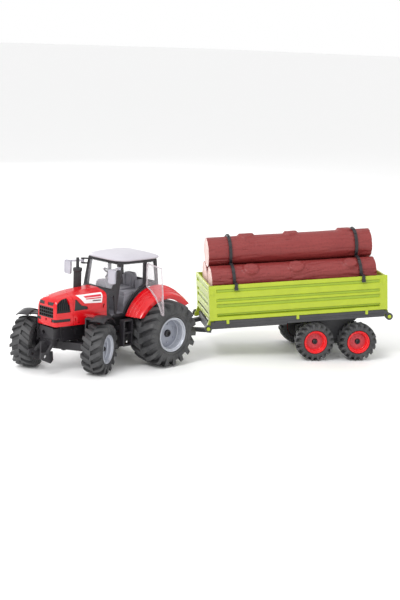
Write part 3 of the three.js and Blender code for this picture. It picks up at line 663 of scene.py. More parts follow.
GRILLE = {"half": 12.9, "low": 65.4, "high": 77.6}
FRONT_SLOT = (3.0, 12.0, 79.8, 83.2)  # near and far from the middle, low and high
BUMPER = {"near": 9.4, "rear": -114.2, "low": 60.9, "high": 64.4}
SIDE_CUT = (13.4, 30.0)  # how far from the middle the side openings are cut
LAMP = [(-132.4, 71.4), (-132.2, 81.4), (-129.2, 84.4), (-124, 86.6), (-117.4, 87.7), (-113.9, 71.4)]
VENT = [
    (-109.8, 72.4), (-109, 76), (-108.4, 85.4), (-106.8, 85.8), (-103.4, 81.6), (-99.4, 78), (-93.6, 76.8),
    (-91.4, 75.4), (-91.2, 72.8),
]


def side_insert(name, outline, ribs, hand, sunk=0.9):
    """A dark panel sunk below the bonnet's skin, with upright ribs if any are asked for."""
    mould = Mould(TRACTOR)
    rings = [[(x, hand * (hood_y(x, z) - depth), z) for x, z in outline] for depth in (sunk + 1.4, sunk)]
    mould.rings(rings)
    xs = [x for x, z in outline]
    foot = min(z for x, z in outline)
    for k in range(ribs):
        x = mix(min(xs), max(xs), (k + 0.7) / (ribs + 0.4))
        span = [z for z in (foot + 0.4 + 0.5 * n for n in range(60)) if inside_outline(x, z, outline)]
        if len(span) < 3:
            continue
        rings = []
        for z in (span[0], mix(span[0], span[-1], 0.5), span[-1]):
            y = hood_y(x, z)
            rings.append([(x - 0.55, hand * (y - sunk - 0.4), z), (x - 0.35, hand * (y - sunk + 0.5), z),
                          (x + 0.35, hand * (y - sunk + 0.5), z), (x + 0.55, hand * (y - sunk - 0.4), z)])
        mould.rings(rings)
    mould.piece(name, "hood_nose", DARK, slot="black_plastic")


def inside_outline(x, z, outline):
    """True if a point is inside a polygon."""
    hit = False
    for (x0, z0), (x1, z1) in zip(outline, outline[1:] + outline[:1]):
        if (z0 > z) != (z1 > z) and x < (x1 - x0) * (z - z0) / (z1 - z0) + x0:
            hit = not hit
    return hit


def grown(outline, amount):
    """An outline moved out from its middle."""
    middle = middle_of(outline)
    return [tuple(Vector(p) + (Vector(p) - middle).normalized() * amount) for p in outline]


def bonnet():
    """Both shells with their openings, and the dark panels behind the openings."""
    split, gap = HOOD["split"], HOOD["gap"] / 2
    nose = hood_shell("hood_nose_shell", "hood_nose", HOOD["front"], split - gap, True)
    rear = hood_shell("hood_shell", "hood", split + gap, HOOD["rear"], False)
    face = (-140, -131)
    cutter = Mould(TRACTOR)
    cutter.box(face, (-GRILLE["half"], GRILLE["half"]), (GRILLE["low"], GRILLE["high"]))
    near, far, low, high = FRONT_SLOT
    for hand in (-1, 1):
        sides = reach(hand, *SIDE_CUT)
        cutter.box(face, reach(hand, near, far), (low, high))
        cutter.prism(rounded(LAMP, 1.2), *sides)
        cutter.box((-140, BUMPER["rear"]), reach(hand, BUMPER["near"], 30),
                   (BUMPER["low"], BUMPER["high"]))
    cutter.box(face, (-1.2, 1.2), (61.4, 64.0))
    carved(nose, cutter)
    cutter = Mould(TRACTOR)
    for hand in (-1, 1):
        sides = reach(hand, *SIDE_CUT)
        cutter.prism(rounded(VENT, 0.9), *sides)
        cutter.prism([(-72.2, 73), (-70.2, 73), (-69, 77.6), (-71, 77.6)], *sides)
        cutter.box((-108.6, -107.4), sides, (60.6, 64.4))
        cutter.prism([(-104.6, 58.4), (-102.2, 58.4), (-103.4, 62)], *sides)
        seam = ((-89, 67.7), (-66.6, 67.7), (-66.6, 68.2), (-89, 68.2))
        cutter.rings([[(x, hand * (hood_y(x, z) + deep), z) for x, z in seam] for deep in (-0.5, 3)])
    carved(rear, cutter)
    slot_xs = (-134.2, -132.5, BUMPER["rear"] + 0.4)
    slot = [(x, BUMPER["low"] - 0.4) for x in slot_xs]
    slot += [(x, BUMPER["high"] + 0.4) for x in reversed(slot_xs)]
    for side, hand in SIDES:
        side_insert(f"{side}_lamp_panel", rounded(grown(LAMP, 0.3), 1.2), 7, hand)
        side_insert(f"{side}_vent_panel", rounded(grown(VENT, 0.3), 0.9), 0, hand)
        side_insert(f"{side}_bumper_slot", slot, 0, hand, 1.2)


def grille():
    """A dark red plate behind an egg-crate of 7 by 3 openings, with the slots' black backs."""
    mould = Mould(TRACTOR)
    half, low, high = GRILLE["half"] + 0.4, GRILLE["low"] - 0.4, GRILLE["high"] + 0.4
    mould.box((-132.4, -131.2), (-half, half), (low, high))
    mould.paint = 1
    near, far, bottom, top = FRONT_SLOT
    for hand in (-1, 1):
        mould.box((-134.0, -131), reach(hand, near - 0.4, far + 0.4), (bottom - 0.4, top + 0.4))
        mould.box((-133.9, -131.4), sorted((hand * (BUMPER["near"] - 0.4), hand * 13.6)),
                  (BUMPER["low"] - 0.4, BUMPER["high"] + 0.4))
    mould.box((-132.6, -131.2), (-1.6, 1.6), (61.0, 64.4))
    mould.piece("grille_back", "grille", [GRILLE_RED, DARK], "grille")
    bars = Mould(TRACTOR)
    columns, rows = 7, 3
    for k in range(columns + 1):
        y = mix(-GRILLE["half"] + 0.35, GRILLE["half"] - 0.35, k / columns)
        bars.box((-134.3, -132.2), (y - 0.42, y + 0.42), (GRILLE["low"] + 0.1, GRILLE["high"] - 0.1))
    for k in range(rows + 1):
        z = mix(GRILLE["low"] + 0.55, GRILLE["high"] - 0.55, k / rows)
        bars.box((-134.4, -132.2), (-GRILLE["half"] + 0.1, GRILLE["half"] - 0.1), (z - 0.55, z + 0.55))
    bars.piece("grille_bars", "grille", DARK, bevel=0.12, slot="red_plastic")


def sticker(hand, side):
    """A white label over the bonnet's shoulder with plain stripes."""
    corners = ((-96, 80.2), (-73, 79.2), (-71.6, 90.6), (-105, 89.6))
    mould = Mould(TRACTOR)

    def spot(u, v, proud):
        x = mix(mix(corners[0][0], corners[1][0], u), mix(corners[3][0], corners[2][0], u), v)
        z = mix(mix(corners[0][1], corners[1][1], u), mix(corners[3][1], corners[2][1], u), v)
        return (x, hand * (hood_y(x, z, proud)), z)

    def patch(u0, u1, v0, v1, low, high, paint):
        mould.paint = paint
        wide, tall = max(2, round(24 * (u1 - u0))), max(1, round(16 * (v1 - v0)))
        us = [mix(u0, u1, i / wide) for i in range(wide + 1)]
        vs = [mix(v0, v1, j / tall) for j in range(tall + 1)]
        borders = []
        for proud in (low, high):
            rows = [mould.verts([spot(u, v, proud) for u in us]) for v in vs]
            for one, other in zip(rows, rows[1:]):
                mould.strip(one, other)
            there = rows[0] + [row[-1] for row in rows[1:]]
            borders.append(there + rows[-1][-2::-1] + [row[0] for row in rows[-2::-1]])
        mould.strip(*borders)

    patch(0, 1, 0, 1, -0.1, 0.12, 0)
    patch(0.22, 0.94, 0.66, 0.86, 0.1, 0.2, 1)
    patch(0.22, 0.94, 0.46, 0.58, 0.1, 0.2, 1)
    patch(0.5, 0.92, 0.2, 0.32, 0.1, 0.2, 2)
    mould.piece(f"{side}_bonnet_label", "hood", [STICKER, STICKER_RED, STICKER_GREY], slot="red_plastic")


bonnet()
grille()
for side, hand in SIDES:
    sticker(hand, side)


def tractor_box(node):
    """A node's lowest and highest corners in the tractor's frame, in millimetres."""
    return [TRACTOR.inverted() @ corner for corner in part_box(node)]


def circle(radius, count, z=0, valley=None):
    """Points round the z axis. With a valley, every other point lies at that radius."""
    made = []
    for k in range(count):
        r, angle = radius if k % 2 or valley is None else valley, 2 * math.pi * k / count
        made.append((r * math.cos(angle), r * math.sin(angle), z))
    return made


def exhaust():
    """A fluted muffler with a collar, and the pipe above it."""
    low, high = tractor_box("exhaust_muffler")
    centre, foot, crown = (low + high) / 2, 89, high.z
    where = moved(TRACTOR, (centre.x, centre.y, 0))
    mould = Mould(where)
    mould.rings([circle(4.8, 40, z, 4.3) for z in (foot, crown - 3.2)])
    mould.lathe([
        (0, crown - 4), (5.0, crown - 4), (5.5, crown - 3.4), (5.5, crown - 0.6), (4.9, crown), (0, crown),
    ], 32, axis="z")
    mould.piece("exhaust_muffler_fluted", "exhaust_muffler", BLACK, "exhaust_muffler", bevel=0.15)
    pipe = Mould(where)
    top = tractor_box("exhaust_pipe")[1].z
    pipe.lathe([
        (0, crown + 0.2), (2.2, crown + 0.2), (1.9, crown + 1.6), (1.9, top - 0.3), (1.7, top),
        (1.2, top), (1.1, top - 3), (0, top - 3),
    ], 24, axis="z")
    pipe.piece("exhaust_pipe_round", "exhaust_pipe", BLACK, "exhaust_pipe")


exhaust()

# ------------------------------------------------------------------ cab

softened("cab_frame", BLACK, 0.45, 3)
softened("windscreen", GLASS, 0.2)
softened("rear_window", GLASS, 0.2)


def roof():
    """A shallow dome with a rounded rim, wider at the rear."""
    low, high = tractor_box("roof")
    cx, a = (low.x + high.x) / 2, (high.x - low.x) / 2
    b, base, crown = high.y, low.z, high.z
    mould = Mould(TRACTOR)
    rings = []
    rim_rings = ((0.93, 0.0), (0.985, 0.05), (1.0, 0.16), (0.995, 0.26), (0.975, 0.34), (0.93, 0.43))
    dome = [(s, 0.43 + 0.57 * (1 - (s / 0.93) ** 2.3)) for s in (0.82, 0.68, 0.52, 0.36, 0.2, 0.08)]
    for scale, rise in (*rim_rings, *dome):
        ring = []
        for k in range(96):
            angle = 2 * math.pi * k / 96
            c, s = math.cos(angle), math.sin(angle)
            x = a * math.copysign(abs(c) ** 0.42, c)
            y = b * math.copysign(abs(s) ** 0.42, s) * (0.955 + 0.045 * x / a)
            ring.append((cx + x * scale, y * scale, mix(base, crown, rise)))
        rings.append(ring)
    mould.rings(rings)
    mould.piece("roof_dome", "roof", ROOF, "roof", sharp=60)


roof()


def interior():
    """Floor, tub, dashboard, side shelves and seat, moulded in one with soft edges."""
    mould = Mould(TRACTOR)
    mould.box((-59, -10), (-25, 25), (60.5, 63.5))
    mould.prism([(-40, 62), (-38.5, 82), (-36, 84), (2, 84), (2, 62)], -24, 24)
    mould.prism([(-57.5, 62), (-57.5, 88), (-50, 88), (-48, 80), (-48, 62)], -9, 9)
    mould.prism(rounded([(-12, 86), (12, 86), (9, 97), (5, 100.4), (-5, 100.4), (-9, 97)], 2), -53.5, -46.5,
                plane="front")
    for hand in (-1, 1):
        ys = (hand * 18 - 5, hand * 18 + 5)
        shelf = rounded([(ys[0], 82), (ys[0], 98.5), (ys[1], 98.5), (ys[1], 82)], 4)
        mould.prism(shelf, -12, 1.5, plane="front")
        mould.box((-38, -12), reach(hand, 13, 23), (83, 87.5))
    mould.piece("cab_tub", "cab_interior", GREY, "cab_interior", bevel=0.9, segments=3)
    seat = Mould(TRACTOR)
    seat.prism(rounded([(-9.5, 84), (9.5, 84), (9.2, 100), (6.5, 105), (-6.5, 105), (-9.2, 100)], 4, 6),
               -11.6, -5, plane="front")
    seat.prism(rounded([(-30, 84), (-30, 88.4), (-10, 89.2), (-8, 84)], 1.5), -9, 9)
    for hand in (-1, 1):
        seat.box((-12.6, -11), reach(hand, 4.4, 5.6), (89, 102))
    seat.piece("cab_seat", "cab_interior", GREY, bevel=1.1, segments=3)


interior()


def steering_wheel():
    """A ring with three spokes on a column that leans towards the driver."""
    where = TRACTOR @ Matrix.Translation((-41.5, 0, 108.5)) @ Matrix.Rotation(math.radians(38), 4, "Y")
    mould = Mould(where)
    mould.tube(circle(7, 40), 0.85, 10, loop=True)
    for spoke_end in circle(6.8, 3):
        mould.tube([(0, 0, -0.8), spoke_end], 0.7, 8)
    mould.lathe([
        (0, -8.4), (1.2, -8.4), (1.3, -1.5), (2.2, -0.9), (2.2, 0.4), (1.5, 0.9), (0, 1.0),
    ], 20, axis="z")
    mould.piece("steering_wheel_ring", "steering_wheel", BLACK, "steering_wheel")


steering_wheel()

DOOR_SHUT = 6.34  # degrees, from the cab's taper
DOOR = [
    (0.8, 92.8), (-9, 90), (-17, 86), (-21.7, 83.5), (-28, 77.5), (-33, 72.5), (-38, 65.5),
    (-42.2, 65.5), (-39.4, 91), (-34.2, 121), (0.8, 121),
]


def door(side, hand):
    """A clear pane with a moulded rim, two knuckles and a handle."""
    joint = JOINTS[f"{side}_door_hinge"]
    opened = -joint["range_deg"][0] if hand < 0 else 0
    hinge = Vector((*origin_of(joint["name"]).xy, 0))
    where = moved(local_frame(hinge), (0, 0, 0), hand * DOOR_SHUT + opened)
    outline = rounded(DOOR, 2.2, 3)
    flip = 1 if hand > 0 else -1
    pane = Mould(where)
    pane.prism(outline, -0.45, 0.45)
    pane.piece(f"{side}_door_pane", f"{side}_door", DOOR_GLASS, f"{side}_door", bevel=0.1)
    rim_part = Mould(where)
    rim_part.border(outline, 1.3, *sorted((-0.7 * flip, 0.75 * flip)))
    for low, high in ((95, 99), (115, 119)):
        rim_part.lathe([(0, low), (1.3, low), (1.3, high), (0, high)], 20, axis="z")
    handle = rounded([(-37.6, 79.6), (-35.2, 79.6), (-34.8, 89), (-37.0, 89)], 0.8)
    rim_part.prism(handle, *sorted((0.5 * flip, 2.3 * flip)))
    rim_part.piece(f"{side}_door_rim", f"{side}_door", DOOR_RIM, bevel=0.2)


def mirror(side, hand):
    """Boss, arm and hanging head in milky plastic."""
    where = local_frame(origin_of(f"{side}_mirror_pin"))
    mould = Mould(where)
    mould.lathe([(1.15, -1.8), (1.9, -1.8), (2.1, -1.2), (2.1, 1.2), (1.9, 1.8), (1.15, 1.8)], 28, axis="z",
                closed=True)
    arm = [(-1.6, 1.5), (-9, 5.6), (-16.2, 8.4), (-17.4, 6.4), (-17.2, 5.4), (-9, 2.2), (-1.6, -1.2)]
    mould.prism([(x, hand * y) for x, y in arm], -0.9, 1.3, plane="plan")
    head = rounded([(1.2, -15.2), (12.8, -15.2), (13, 1.3), (1, 1.3)], 3, 6)
    mould.prism([(hand * y, z) for y, z in head], -17.3, -15.6, plane="front")
    mould.border([(hand * y, z) for y, z in head], 0.9, -17.6, -15.3, plane="front")
    mould.piece(f"{side}_mirror_head", f"{side}_mirror", MIRROR, f"{side}_mirror", bevel=0.25)


for side, hand in SIDES:
    door(side, hand)
    mirror(side, hand)

# ------------------------------------------------------------------ tractor body pieces

for node in ("chassis", "front_carrier", "front_linkage", "hitch_bracket", "hitch_pin"):
    softened(node, BLACK, 0.4)
for node in ("front_axle", "left_steps", "right_steps"):
    softened(node, BLACK, 0.35)
softened("rear_axle", STEEL, 0.3)

FENDER_WALL, LIP_WALL = 1.7, 1.4
LIP = (4.6, 8.2)  # depth of the fender's turned-down outer edge, at its front and its rear


def fender(side, hand):
    """A band over the rear wheel with ribs along its top and a turned-down outer edge."""
    mould = Mould(TRACTOR)
    centre_x, centre_z, radius, slope = 3, 37.5, 51.4, 0.44
    inner, outer, front_low, rear_low = 34.4, 55.5, 61.4, 70.2
    across = [inner, 36, 37.6, 38.0, 39.2, 39.6, 42, 42.4, 43.6, 44, 46.4, 46.8, 48, 48.4, 52, 54.6, outer]
    ribs = {38.0, 39.2, 42.4, 43.6, 46.8, 48}
    steps = 46

    def row(y, depth, deeper=0.0):
        lift = slope * ((inner + outer) / 2 - y)
        skin = radius - depth
        if not depth:
            skin += (0.7 if y in ribs else 0) - (0.4 if y == outer else 0)
        start = math.asin((rear_low - centre_z - lift) / skin)
        end = math.pi - math.asin((front_low - centre_z - lift) / skin)
        made = []
        for k in range(steps + 1):
            angle, r = mix(start, end, k / steps), skin - deeper * smooth(1 - 2.2 * k / steps)
            made.append((centre_x + r * math.cos(angle), hand * y, centre_z + lift + r * math.sin(angle)))
        return made

    shallow, extra, lip_inside = LIP[0], LIP[1] - LIP[0], outer - LIP_WALL
    rows = [row(y, 0) for y in across] + [row(outer, shallow, extra), row(lip_inside, shallow, extra)]
    rows += [row(y, FENDER_WALL) for y in (lip_inside, *reversed([y for y in across if y < lip_inside]))]
    mould.rings([list(section) for section in zip(*rows)])
    mould.piece(f"{side}_fender_band", f"{side}_fender", RED, f"{side}_fender", bevel=0.15, sharp=30)


for side, hand in SIDES:
    fender(side, hand)


def mudguard(side, hand):
    """An arched band over a front wheel, rounded across, held by an upright plate inside the wheel."""
    mould = Mould(FRONT_AXLE)
    radius, inner, outer, start, end = 36.5, 38.5, 54.5, 46, 114
    across = [mix(inner, outer, k / 10) for k in range(11)]
    angles = [math.radians(mix(start, end, k / 20)) for k in range(21)]

    def row(y, depth):
        t = (y - inner) / (outer - inner)
        crown = 2.2 * math.sin(math.pi * min(1, 0.2 + 0.68 * t))
        r = radius - depth + crown - 1.2 * max(0, t - 0.8) / 0.2
        return [(r * math.cos(a), hand * y, r * math.sin(a)) for a in angles]

    rows = [row(y, 0) for y in across] + [row(y, 1.6) for y in reversed(across)]
    mould.rings([list(section) for section in zip(*rows)])
    mould.box((-9, -1), reach(hand, 29.2, 40), (radius - 2.4, radius - 0.6))
    mould.box((-8, 1.5), reach(hand, 28.9, 30.6), (4.8, radius - 1))
    mould.piece(f"{side}_mudguard_arch", f"{side}_mudguard", BLACK, f"{side}_mudguard", bevel=0.3)


for side, hand in SIDES:
    mudguard(side, hand)


def engine_details():
    """Ribs, covers and bolts on the engine block and gearbox below the bonnet."""
    mould = Mould(TRACTOR)
    for hand in (-1, 1):
        skin = reach(hand, 10.6, 11.9)
        mould.box((-121, -104), skin, (40, 51.5))
        mould.box((-101, -84), skin, (42, 52.5))
        for x in (-119, -106, -99, -86):
            mould.lathe([(0, hand * 11), (1.1, hand * 11), (1.1, hand * 12.6), (0.8, hand * 12.9),
                         (0, hand * 12.9)], 10, at=(x, 0, 49.6))
        for x in (-80, -75.5, -71, -66.5):
            mould.box((x, x + 1.6), reach(hand, 10.6, 12.2), (38.5, 52))
        mould.box((-52, -30), reach(hand, 15.6, 17), (34, 40))
    mould.piece("engine_details", "chassis", BLACK, bevel=0.25)


engine_details()

# ------------------------------------------------------------------ trailer frame

for node in ("trailer_chassis", "bogie_bracket", "drawbar", "bogie_beam"):
    softened(node, RAIL_BLACK, 0.35)
for node in ("trailer_front_axle", "trailer_rear_axle"):
    softened(node, STEEL, 0.2)


def deck_box(node):
    """A node's lowest and highest corners in the deck's own frame, in millimetres."""
    inverse = DECK.inverted()
    points = [inverse @ vertex.co for vertex in frame["nodes"][node].data.vertices]
    return (Vector([min(p[i] for p in points) for i in range(3)]),
            Vector([max(p[i] for p in points) for i in range(3)]))


SIDE_LOW, SIDE_HIGH = deck_box("bed_right_side")
BED_FRONT, BED_REAR = SIDE_LOW.x, SIDE_HIGH.x
BED_HALF, BED_TOP = SIDE_HIGH.y, SIDE_HIGH.z
WALL, BED_FLOOR, RAIL_FACE = 2.5, 14.3, 47.5
GROOVES = ((4.5, 9.2), (16.0, 20.5), (22.6, 27.7), (34.2, 39.0))  # top and foot, below the panel's top
GROOVE_DEPTH = 1.3
TAB_SHARES = (0.1, 0.49, 0.88)  # shares of the bed's length


PEG_XS = (52.5, 279)
PEG_RING = ((2.6, 45.2), (4.2, 45.2), (4.5, 45.6), (4.5, 49.2), (4.1, 49.5), (3.3, 49.5), (2.6, 48.8))


def rail_details():
    """Raised bands along both chassis rails, and the rims of their peg rings."""
    mould = Mould(DECK)
    start, end, step = BED_FRONT + 6, BED_REAR - 4, 150  # the rail is shallower behind the step
    for hand in (-1, 1):
        skin = reach(hand, RAIL_FACE - 0.5, RAIL_FACE + 0.6)
        mould.box((start, step), skin, (3.9, 6.4))
        mould.box((step + 0.2, end), reach(hand, RAIL_FACE - 2.4, RAIL_FACE + 0.6), (5.3, 8.1))
        mould.box((start, end), reach(hand, RAIL_FACE - 1.6, RAIL_FACE + 0.6), (10.6, 13.9))
        ring = [(r, hand * y) for r, y in PEG_RING]
        for x in PEG_XS:
            mould.lathe(ring, 32, at=(x, 0, 5), closed=True)
    mould.piece("rail_details", "trailer_chassis", RAIL_BLACK, bevel=0.2)


rail_details()

# ------------------------------------------------------------------ trailer bed


def groove_profile(depth, top, low):
    """(distance in from the face, height) points down a panel's outer face, with pressed grooves."""
    made = [(0.5, top), (0.0, top - 0.5)]
    for high, deep in GROOVES:
        for inset, z in ((0, high), (depth, high + 0.9), (depth, deep - 0.7), (0, deep)):
            made.append((inset, top - z))
    made += [(0, low + 0.4), (0.4, low)]
    return made


def panel(mould, start, end, place, depth, top, low, wall, border):
    """A panel along one axis: flat at both ends, with grooves pressed in its outer face between. Thin strips laid
    in each groove paint shade on its floor and darker painted shadow lines along its top and foot.
    """
    def ring(along, pressed):
        face = groove_profile(depth if pressed else 0, top, low)
        back = [(wall, low), (wall, top)]
        return [place(along, inset, z) for inset, z in face + back]

    mould.rings([
        ring(start, False), ring(start + border, False), ring(start + border + 1.0, True),
        ring(end - border - 1.0, True), ring(end - border, False), ring(end, False),
    ])
    # Painted shade: a strip on each groove's floor in the painted shade material, and painted shadow lines at the
    # groove's upper and lower edges.
    for high, deep in GROOVES:
        upper, lower = high + 1.2, deep - 1.1
        for paint, near, far in ((1, upper, lower), (2, high + 0.6, upper), (2, lower, deep - 0.3)):
            mould.paint = paint
            strip = [(depth - 0.06, near), (depth - 0.06, far), (depth + 0.4, far), (depth + 0.4, near)]
            mould.rings([[place(along, inset, top - z) for inset, z in strip]
                         for along in (start + border + 0.7, end - border - 0.7)])
    mould.paint = 0


def bed_side(side, hand):
    """A side panel with its tabs over the rail, its corner plates and its top rim."""
    node = f"bed_{side}_side"
    mould = Mould(DECK)
    panel(mould, BED_FRONT, BED_REAR, lambda x, inset, z: (x, hand * (BED_HALF - inset), z),
          GROOVE_DEPTH, BED_TOP, BED_FLOOR, WALL, 9)
    out = reach(hand, BED_HALF - 0.6, BED_HALF + 0.05)
    for share in TAB_SHARES:
        x = mix(BED_FRONT, BED_REAR, share)
        mould.box((x - 1.7, x + 1.7), out, (9.6, BED_FLOOR + 1))
    for x in (BED_FRONT + 4.6, BED_REAR - 4.6):
        mould.box((x - 2.3, x + 2.3), reach(hand, BED_HALF - 0.4, BED_HALF + 0.45),
                  (BED_TOP - 11.4, BED_TOP - 4.6))
    mould.box((BED_FRONT, BED_REAR), reach(hand, BED_HALF - WALL - 0.25, BED_HALF - 0.5),
              (BED_TOP - 1.2, BED_TOP))
    mould.piece(node + "_panel", node, [LIME, LIME_PAINTED_SHADE, LIME_PAINTED_SHADOW_LINE], node, bevel=0.18, sharp=28)


def bed_end(node, facing):
    """The front panel or the tailgate, grooved like the sides."""
    low, high = deck_box(node)
    mould = Mould(DECK)
    face = low.x if facing < 0 else high.x
    panel(mould, low.y, high.y, lambda y, inset, z: (face - facing * inset, y, z),
          GROOVE_DEPTH, high.z, low.z, high.x - low.x, 5.5)
    mould.piece(node + "_panel", node, [LIME, LIME_PAINTED_SHADE, LIME_PAINTED_SHADOW_LINE], node, bevel=0.18, sharp=28)


for side, hand in SIDES:
    bed_side(side, hand)
bed_end("bed_front_panel", -1)
bed_end("tailgate", 1)
softened("bed_floor", LIME, 0.3)

# ------------------------------------------------------------------ logs

LOG = {"radius": 18.3, "front": 61, "rear": 267, "spread": 18.7, "low": 58, "top": 90.6}
STUBS = (0.24, 0.515, 0.845)  # shares of a log's length


def log(node, y, z, lean, seed):
    """A log with long flats, furrows, bark grain that flows round three knots, and ringed ends."""
    random.seed(seed)
    where = DECK @ Matrix.Translation((0, y, z))
    mould = Mould(where)
    length, radius = LOG["rear"] - LOG["front"], LOG["radius"]
    along, around = 190, 104
    shift = Vector((random.uniform(0, 50), random.uniform(0, 50), random.uniform(0, 50)))
    knots = [(share * length, math.radians(lean), random.uniform(7.5, 9.5)) for share in STUBS]
    scars = [(random.uniform(0.1, 0.9) * length, random.uniform(0, 2 * math.pi), 4.2) for _ in range(7)]

    def skin(x, angle):
        """The radius at a place: angle 0 is upwards and grows towards +Y."""
        flats = -0.22 * (1 + math.cos(9 * angle + 0.4 * math.sin(x / 40))) * 0.5
        lift, warp = 0.0, 0.0
        for kx, ka, size in knots:
            across = math.remainder(angle - ka, 2 * math.pi) * radius
            away = math.hypot((x - kx) / 1.15, across)
            lift += 2.6 * smooth((size + 1.2 - away) / 2.8)
            warp += 2.2 * math.exp(-(away / 13) ** 2)
        for kx, ka, size in scars:
            across = math.remainder(angle - ka, 2 * math.pi) * radius
            away = math.hypot((x - kx) / 2.2, across)
            lift += 0.5 * math.exp(-(away / size) ** 2)
            warp += 1.4 * math.exp(-(away / 9) ** 2)
        spin = Vector((math.cos(angle), math.sin(angle), 0)) * radius
        lines = noise.noise(Vector((x / 26, spin.x / 2.3, spin.y / 2.3 + warp * 0.9)) + shift)
        ends = 0.45 + 0.55 * smooth(abs(x - length / 2) / (length / 2) * 2.4 - 1.3)
        near = min(1.0, ends + warp * 0.35)
        furrow = -0.75 * smooth((lines - 0.1) / 0.14) * near
        broad = 0.28 * noise.noise(Vector((x / 30, spin.x / 11, spin.y / 11)) + shift)
        return radius - 0.3 + flats * 0.6 + min(lift, 3.0) + furrow + broad

    rings = []
    for i in range(along + 1):
        x = length * i / along
        ring = []
        for k in range(around):
            angle = 2 * math.pi * k / around
            r = skin(x, angle)
            ring.append((LOG["front"] + x, r * math.sin(angle), r * math.cos(angle)))
        rings.append(ring)
    mould.rings(rings, caps=False)
    mould.paint = 1
    for end, ring in ((LOG["front"], rings[0]), (LOG["rear"], rings[-1])):
        outward = -1 if end == LOG["front"] else 1
        steps = 22
        discs = []
        for s in range(steps):
            share = 1 - s / steps
            dent = 0.0 if s < 2 else 0.16 * (1 + math.cos(share * 44 + 0.4 * math.sin(share * 9)))
            dent += 0.35 * smooth((s - 1) / 1.5)
            discs.append([(end - outward * dent, y * share, z * share) for _, y, z in ring])
        mould.rings(discs, caps=False)
        mould.face(mould.verts(discs[-1]))
    mould.piece(node + "_bark", node, [BARK, LOG_END], node, sharp=50)


log("left_log", -LOG["spread"], LOG["low"], -38, 3)
log("right_log", LOG["spread"], LOG["low"], 38, 5)
log("top_log", 0, LOG["top"], 0, 8)


def strap_path(radius):
    """Points of a band round the three logs, dipping between them, with the outward direction at each."""
    centres = [(0, LOG["top"]), (LOG["spread"], LOG["low"]), (-LOG["spread"], LOG["low"])]
    made = []
    for i, centre in enumerate(centres):
        before, after = centres[i - 1], centres[(i + 1) % 3]

        def crevice(other, sign):
            dy, dz = other[0] - centre[0], other[1] - centre[1]
            gap = math.hypot(dy, dz)
            return math.atan2(dy, dz) + sign * math.acos(min(1, gap / 2 / radius))

        start, end = crevice(before, 1), crevice(after, -1)
        while end < start:
            end += 2 * math.pi
        steps = max(6, round(math.degrees(end - start) / 6))
        for k in range(steps + 1):
            angle = mix(start, end, k / steps)
            out = (math.sin(angle), math.cos(angle))
            made.append((centre[0] + radius * out[0], centre[1] + radius * out[1], out))
    return made


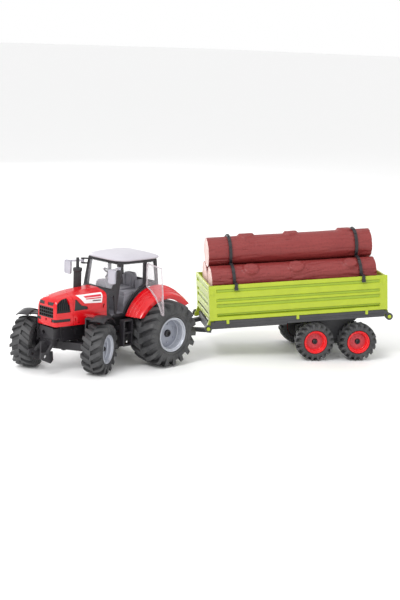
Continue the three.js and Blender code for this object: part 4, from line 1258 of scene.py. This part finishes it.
def strap(node):
    """A flat band with locking teeth that dips between the logs, and a hook over each side panel."""
    low, high = deck_box(node)
    x = (low.x + high.x) / 2
    half, inner, outer = 1.9, LOG["radius"] + 0.7, LOG["radius"] + 2.1
    mould = Mould(DECK)
    rings = []
    for y, z, out in strap_path((inner + outer) / 2):
        thick = (outer - inner) / 2
        near = (y - out[0] * thick, z - out[1] * thick)
        far = (y + out[0] * thick, z + out[1] * thick)
        rings.append([(x - half, *near), (x + half, *near), (x + half, *far), (x - half, *far)])
    mould.rings(rings, loop=True)
    path = strap_path(outer)
    for k in range(2, len(path), 4):
        y, z, out = path[k]
        turn = Matrix((X, Vector((0, out[1], -out[0])), Vector((0, *out)))).transposed().to_4x4()
        place = Matrix.Translation((x, y, z)) @ turn
        corners = [[place @ Vector((u * 1.5, v * 0.9, w)) for u, v in ((-1, -1), (1, -1), (1, 1), (-1, 1))]
                   for w in (-0.3, 0.55)]
        mould.rings(corners)
    hook = (  # half width, near and far from the middle, foot and head from the bed's top
        (half, 37, BED_HALF + 1.8, 0.3, 2),
        (half, BED_HALF + 0.55, BED_HALF + 1.8, -6.3, 2),
        (half + 0.5, BED_HALF + 0.6, BED_HALF + 2.1, -6.8, -3.4),
    )
    for hand in (-1, 1):
        for wide, near, far, foot, head in hook:
            mould.box((x - wide, x + wide), reach(hand, near, far), (BED_TOP + foot, BED_TOP + head))
    mould.piece(node + "_band", node, BLACK, node, bevel=0.2)


strap("front_strap")
strap("rear_strap")

# ------------------------------------------------------------------ floor and light


def floor():
    """A wide pale floor just under the toy."""
    mesh = bpy.data.meshes.new("floor")
    size, z = 40, cad_low.z - 0.0001
    corners = [(x * size, y * size, z) for x, y in ((-1, -1), (1, -1), (1, 1), (-1, 1))]
    mesh.from_pydata(corners, [], [(0, 1, 2, 3)])
    look = Look("floor_white", 0.6)
    white = linear((250, 250, 250))
    look.paint("Base Color", look.blend(look.noise(8, 2), white, tuple(min(1, c * 1.01) for c in white)))
    mesh.materials.append(look.material)
    made = bpy.data.objects.new("floor", mesh)
    bpy.context.scene.collection.objects.link(made)


def softbox(name, place, size, power, target=(0, 0, 0.06)):
    """A round area lamp that faces a point."""
    data = bpy.data.lights.new(name, "AREA")
    data.shape = "DISK"
    data.size = size
    data.energy = power
    made = bpy.data.objects.new(name, data)
    made.location = place
    made.rotation_euler = (Vector(target) - Vector(place)).to_track_quat("-Z", "Y").to_euler()
    bpy.context.scene.collection.objects.link(made)


def studio():
    """A bright tent with soft lamps at the view's left and behind the toy, and weak ones above and ahead."""
    world = bpy.data.worlds.new("studio")
    world.use_nodes = True
    background = world.node_tree.nodes["Background"]
    background.inputs["Color"].default_value = (1, 1, 1, 1)
    backdrop = world.node_tree.nodes.new("ShaderNodeMix")
    backdrop.inputs["A"].default_value = 0.95
    backdrop.inputs["B"].default_value = 1.0
    ray = world.node_tree.nodes.new("ShaderNodeLightPath")
    world.node_tree.links.new(ray.outputs["Is Camera Ray"], backdrop.inputs["Factor"])
    world.node_tree.links.new(backdrop.outputs["Result"], background.inputs["Strength"])
    bpy.context.scene.world = world
    softbox("key", (-1.2, -0.25, 1.3), 0.6, 14)
    softbox("top", (-0.1, -0.2, 1.7), 1.2, 1.5)
    softbox("fill", (0.3, -1.6, 0.7), 1.0, 0.8)
    softbox("back", (0.25, 2.1, 0.55), 1.4, 24)
    bpy.context.scene.view_settings.view_transform = "Standard"


floor()
studio()
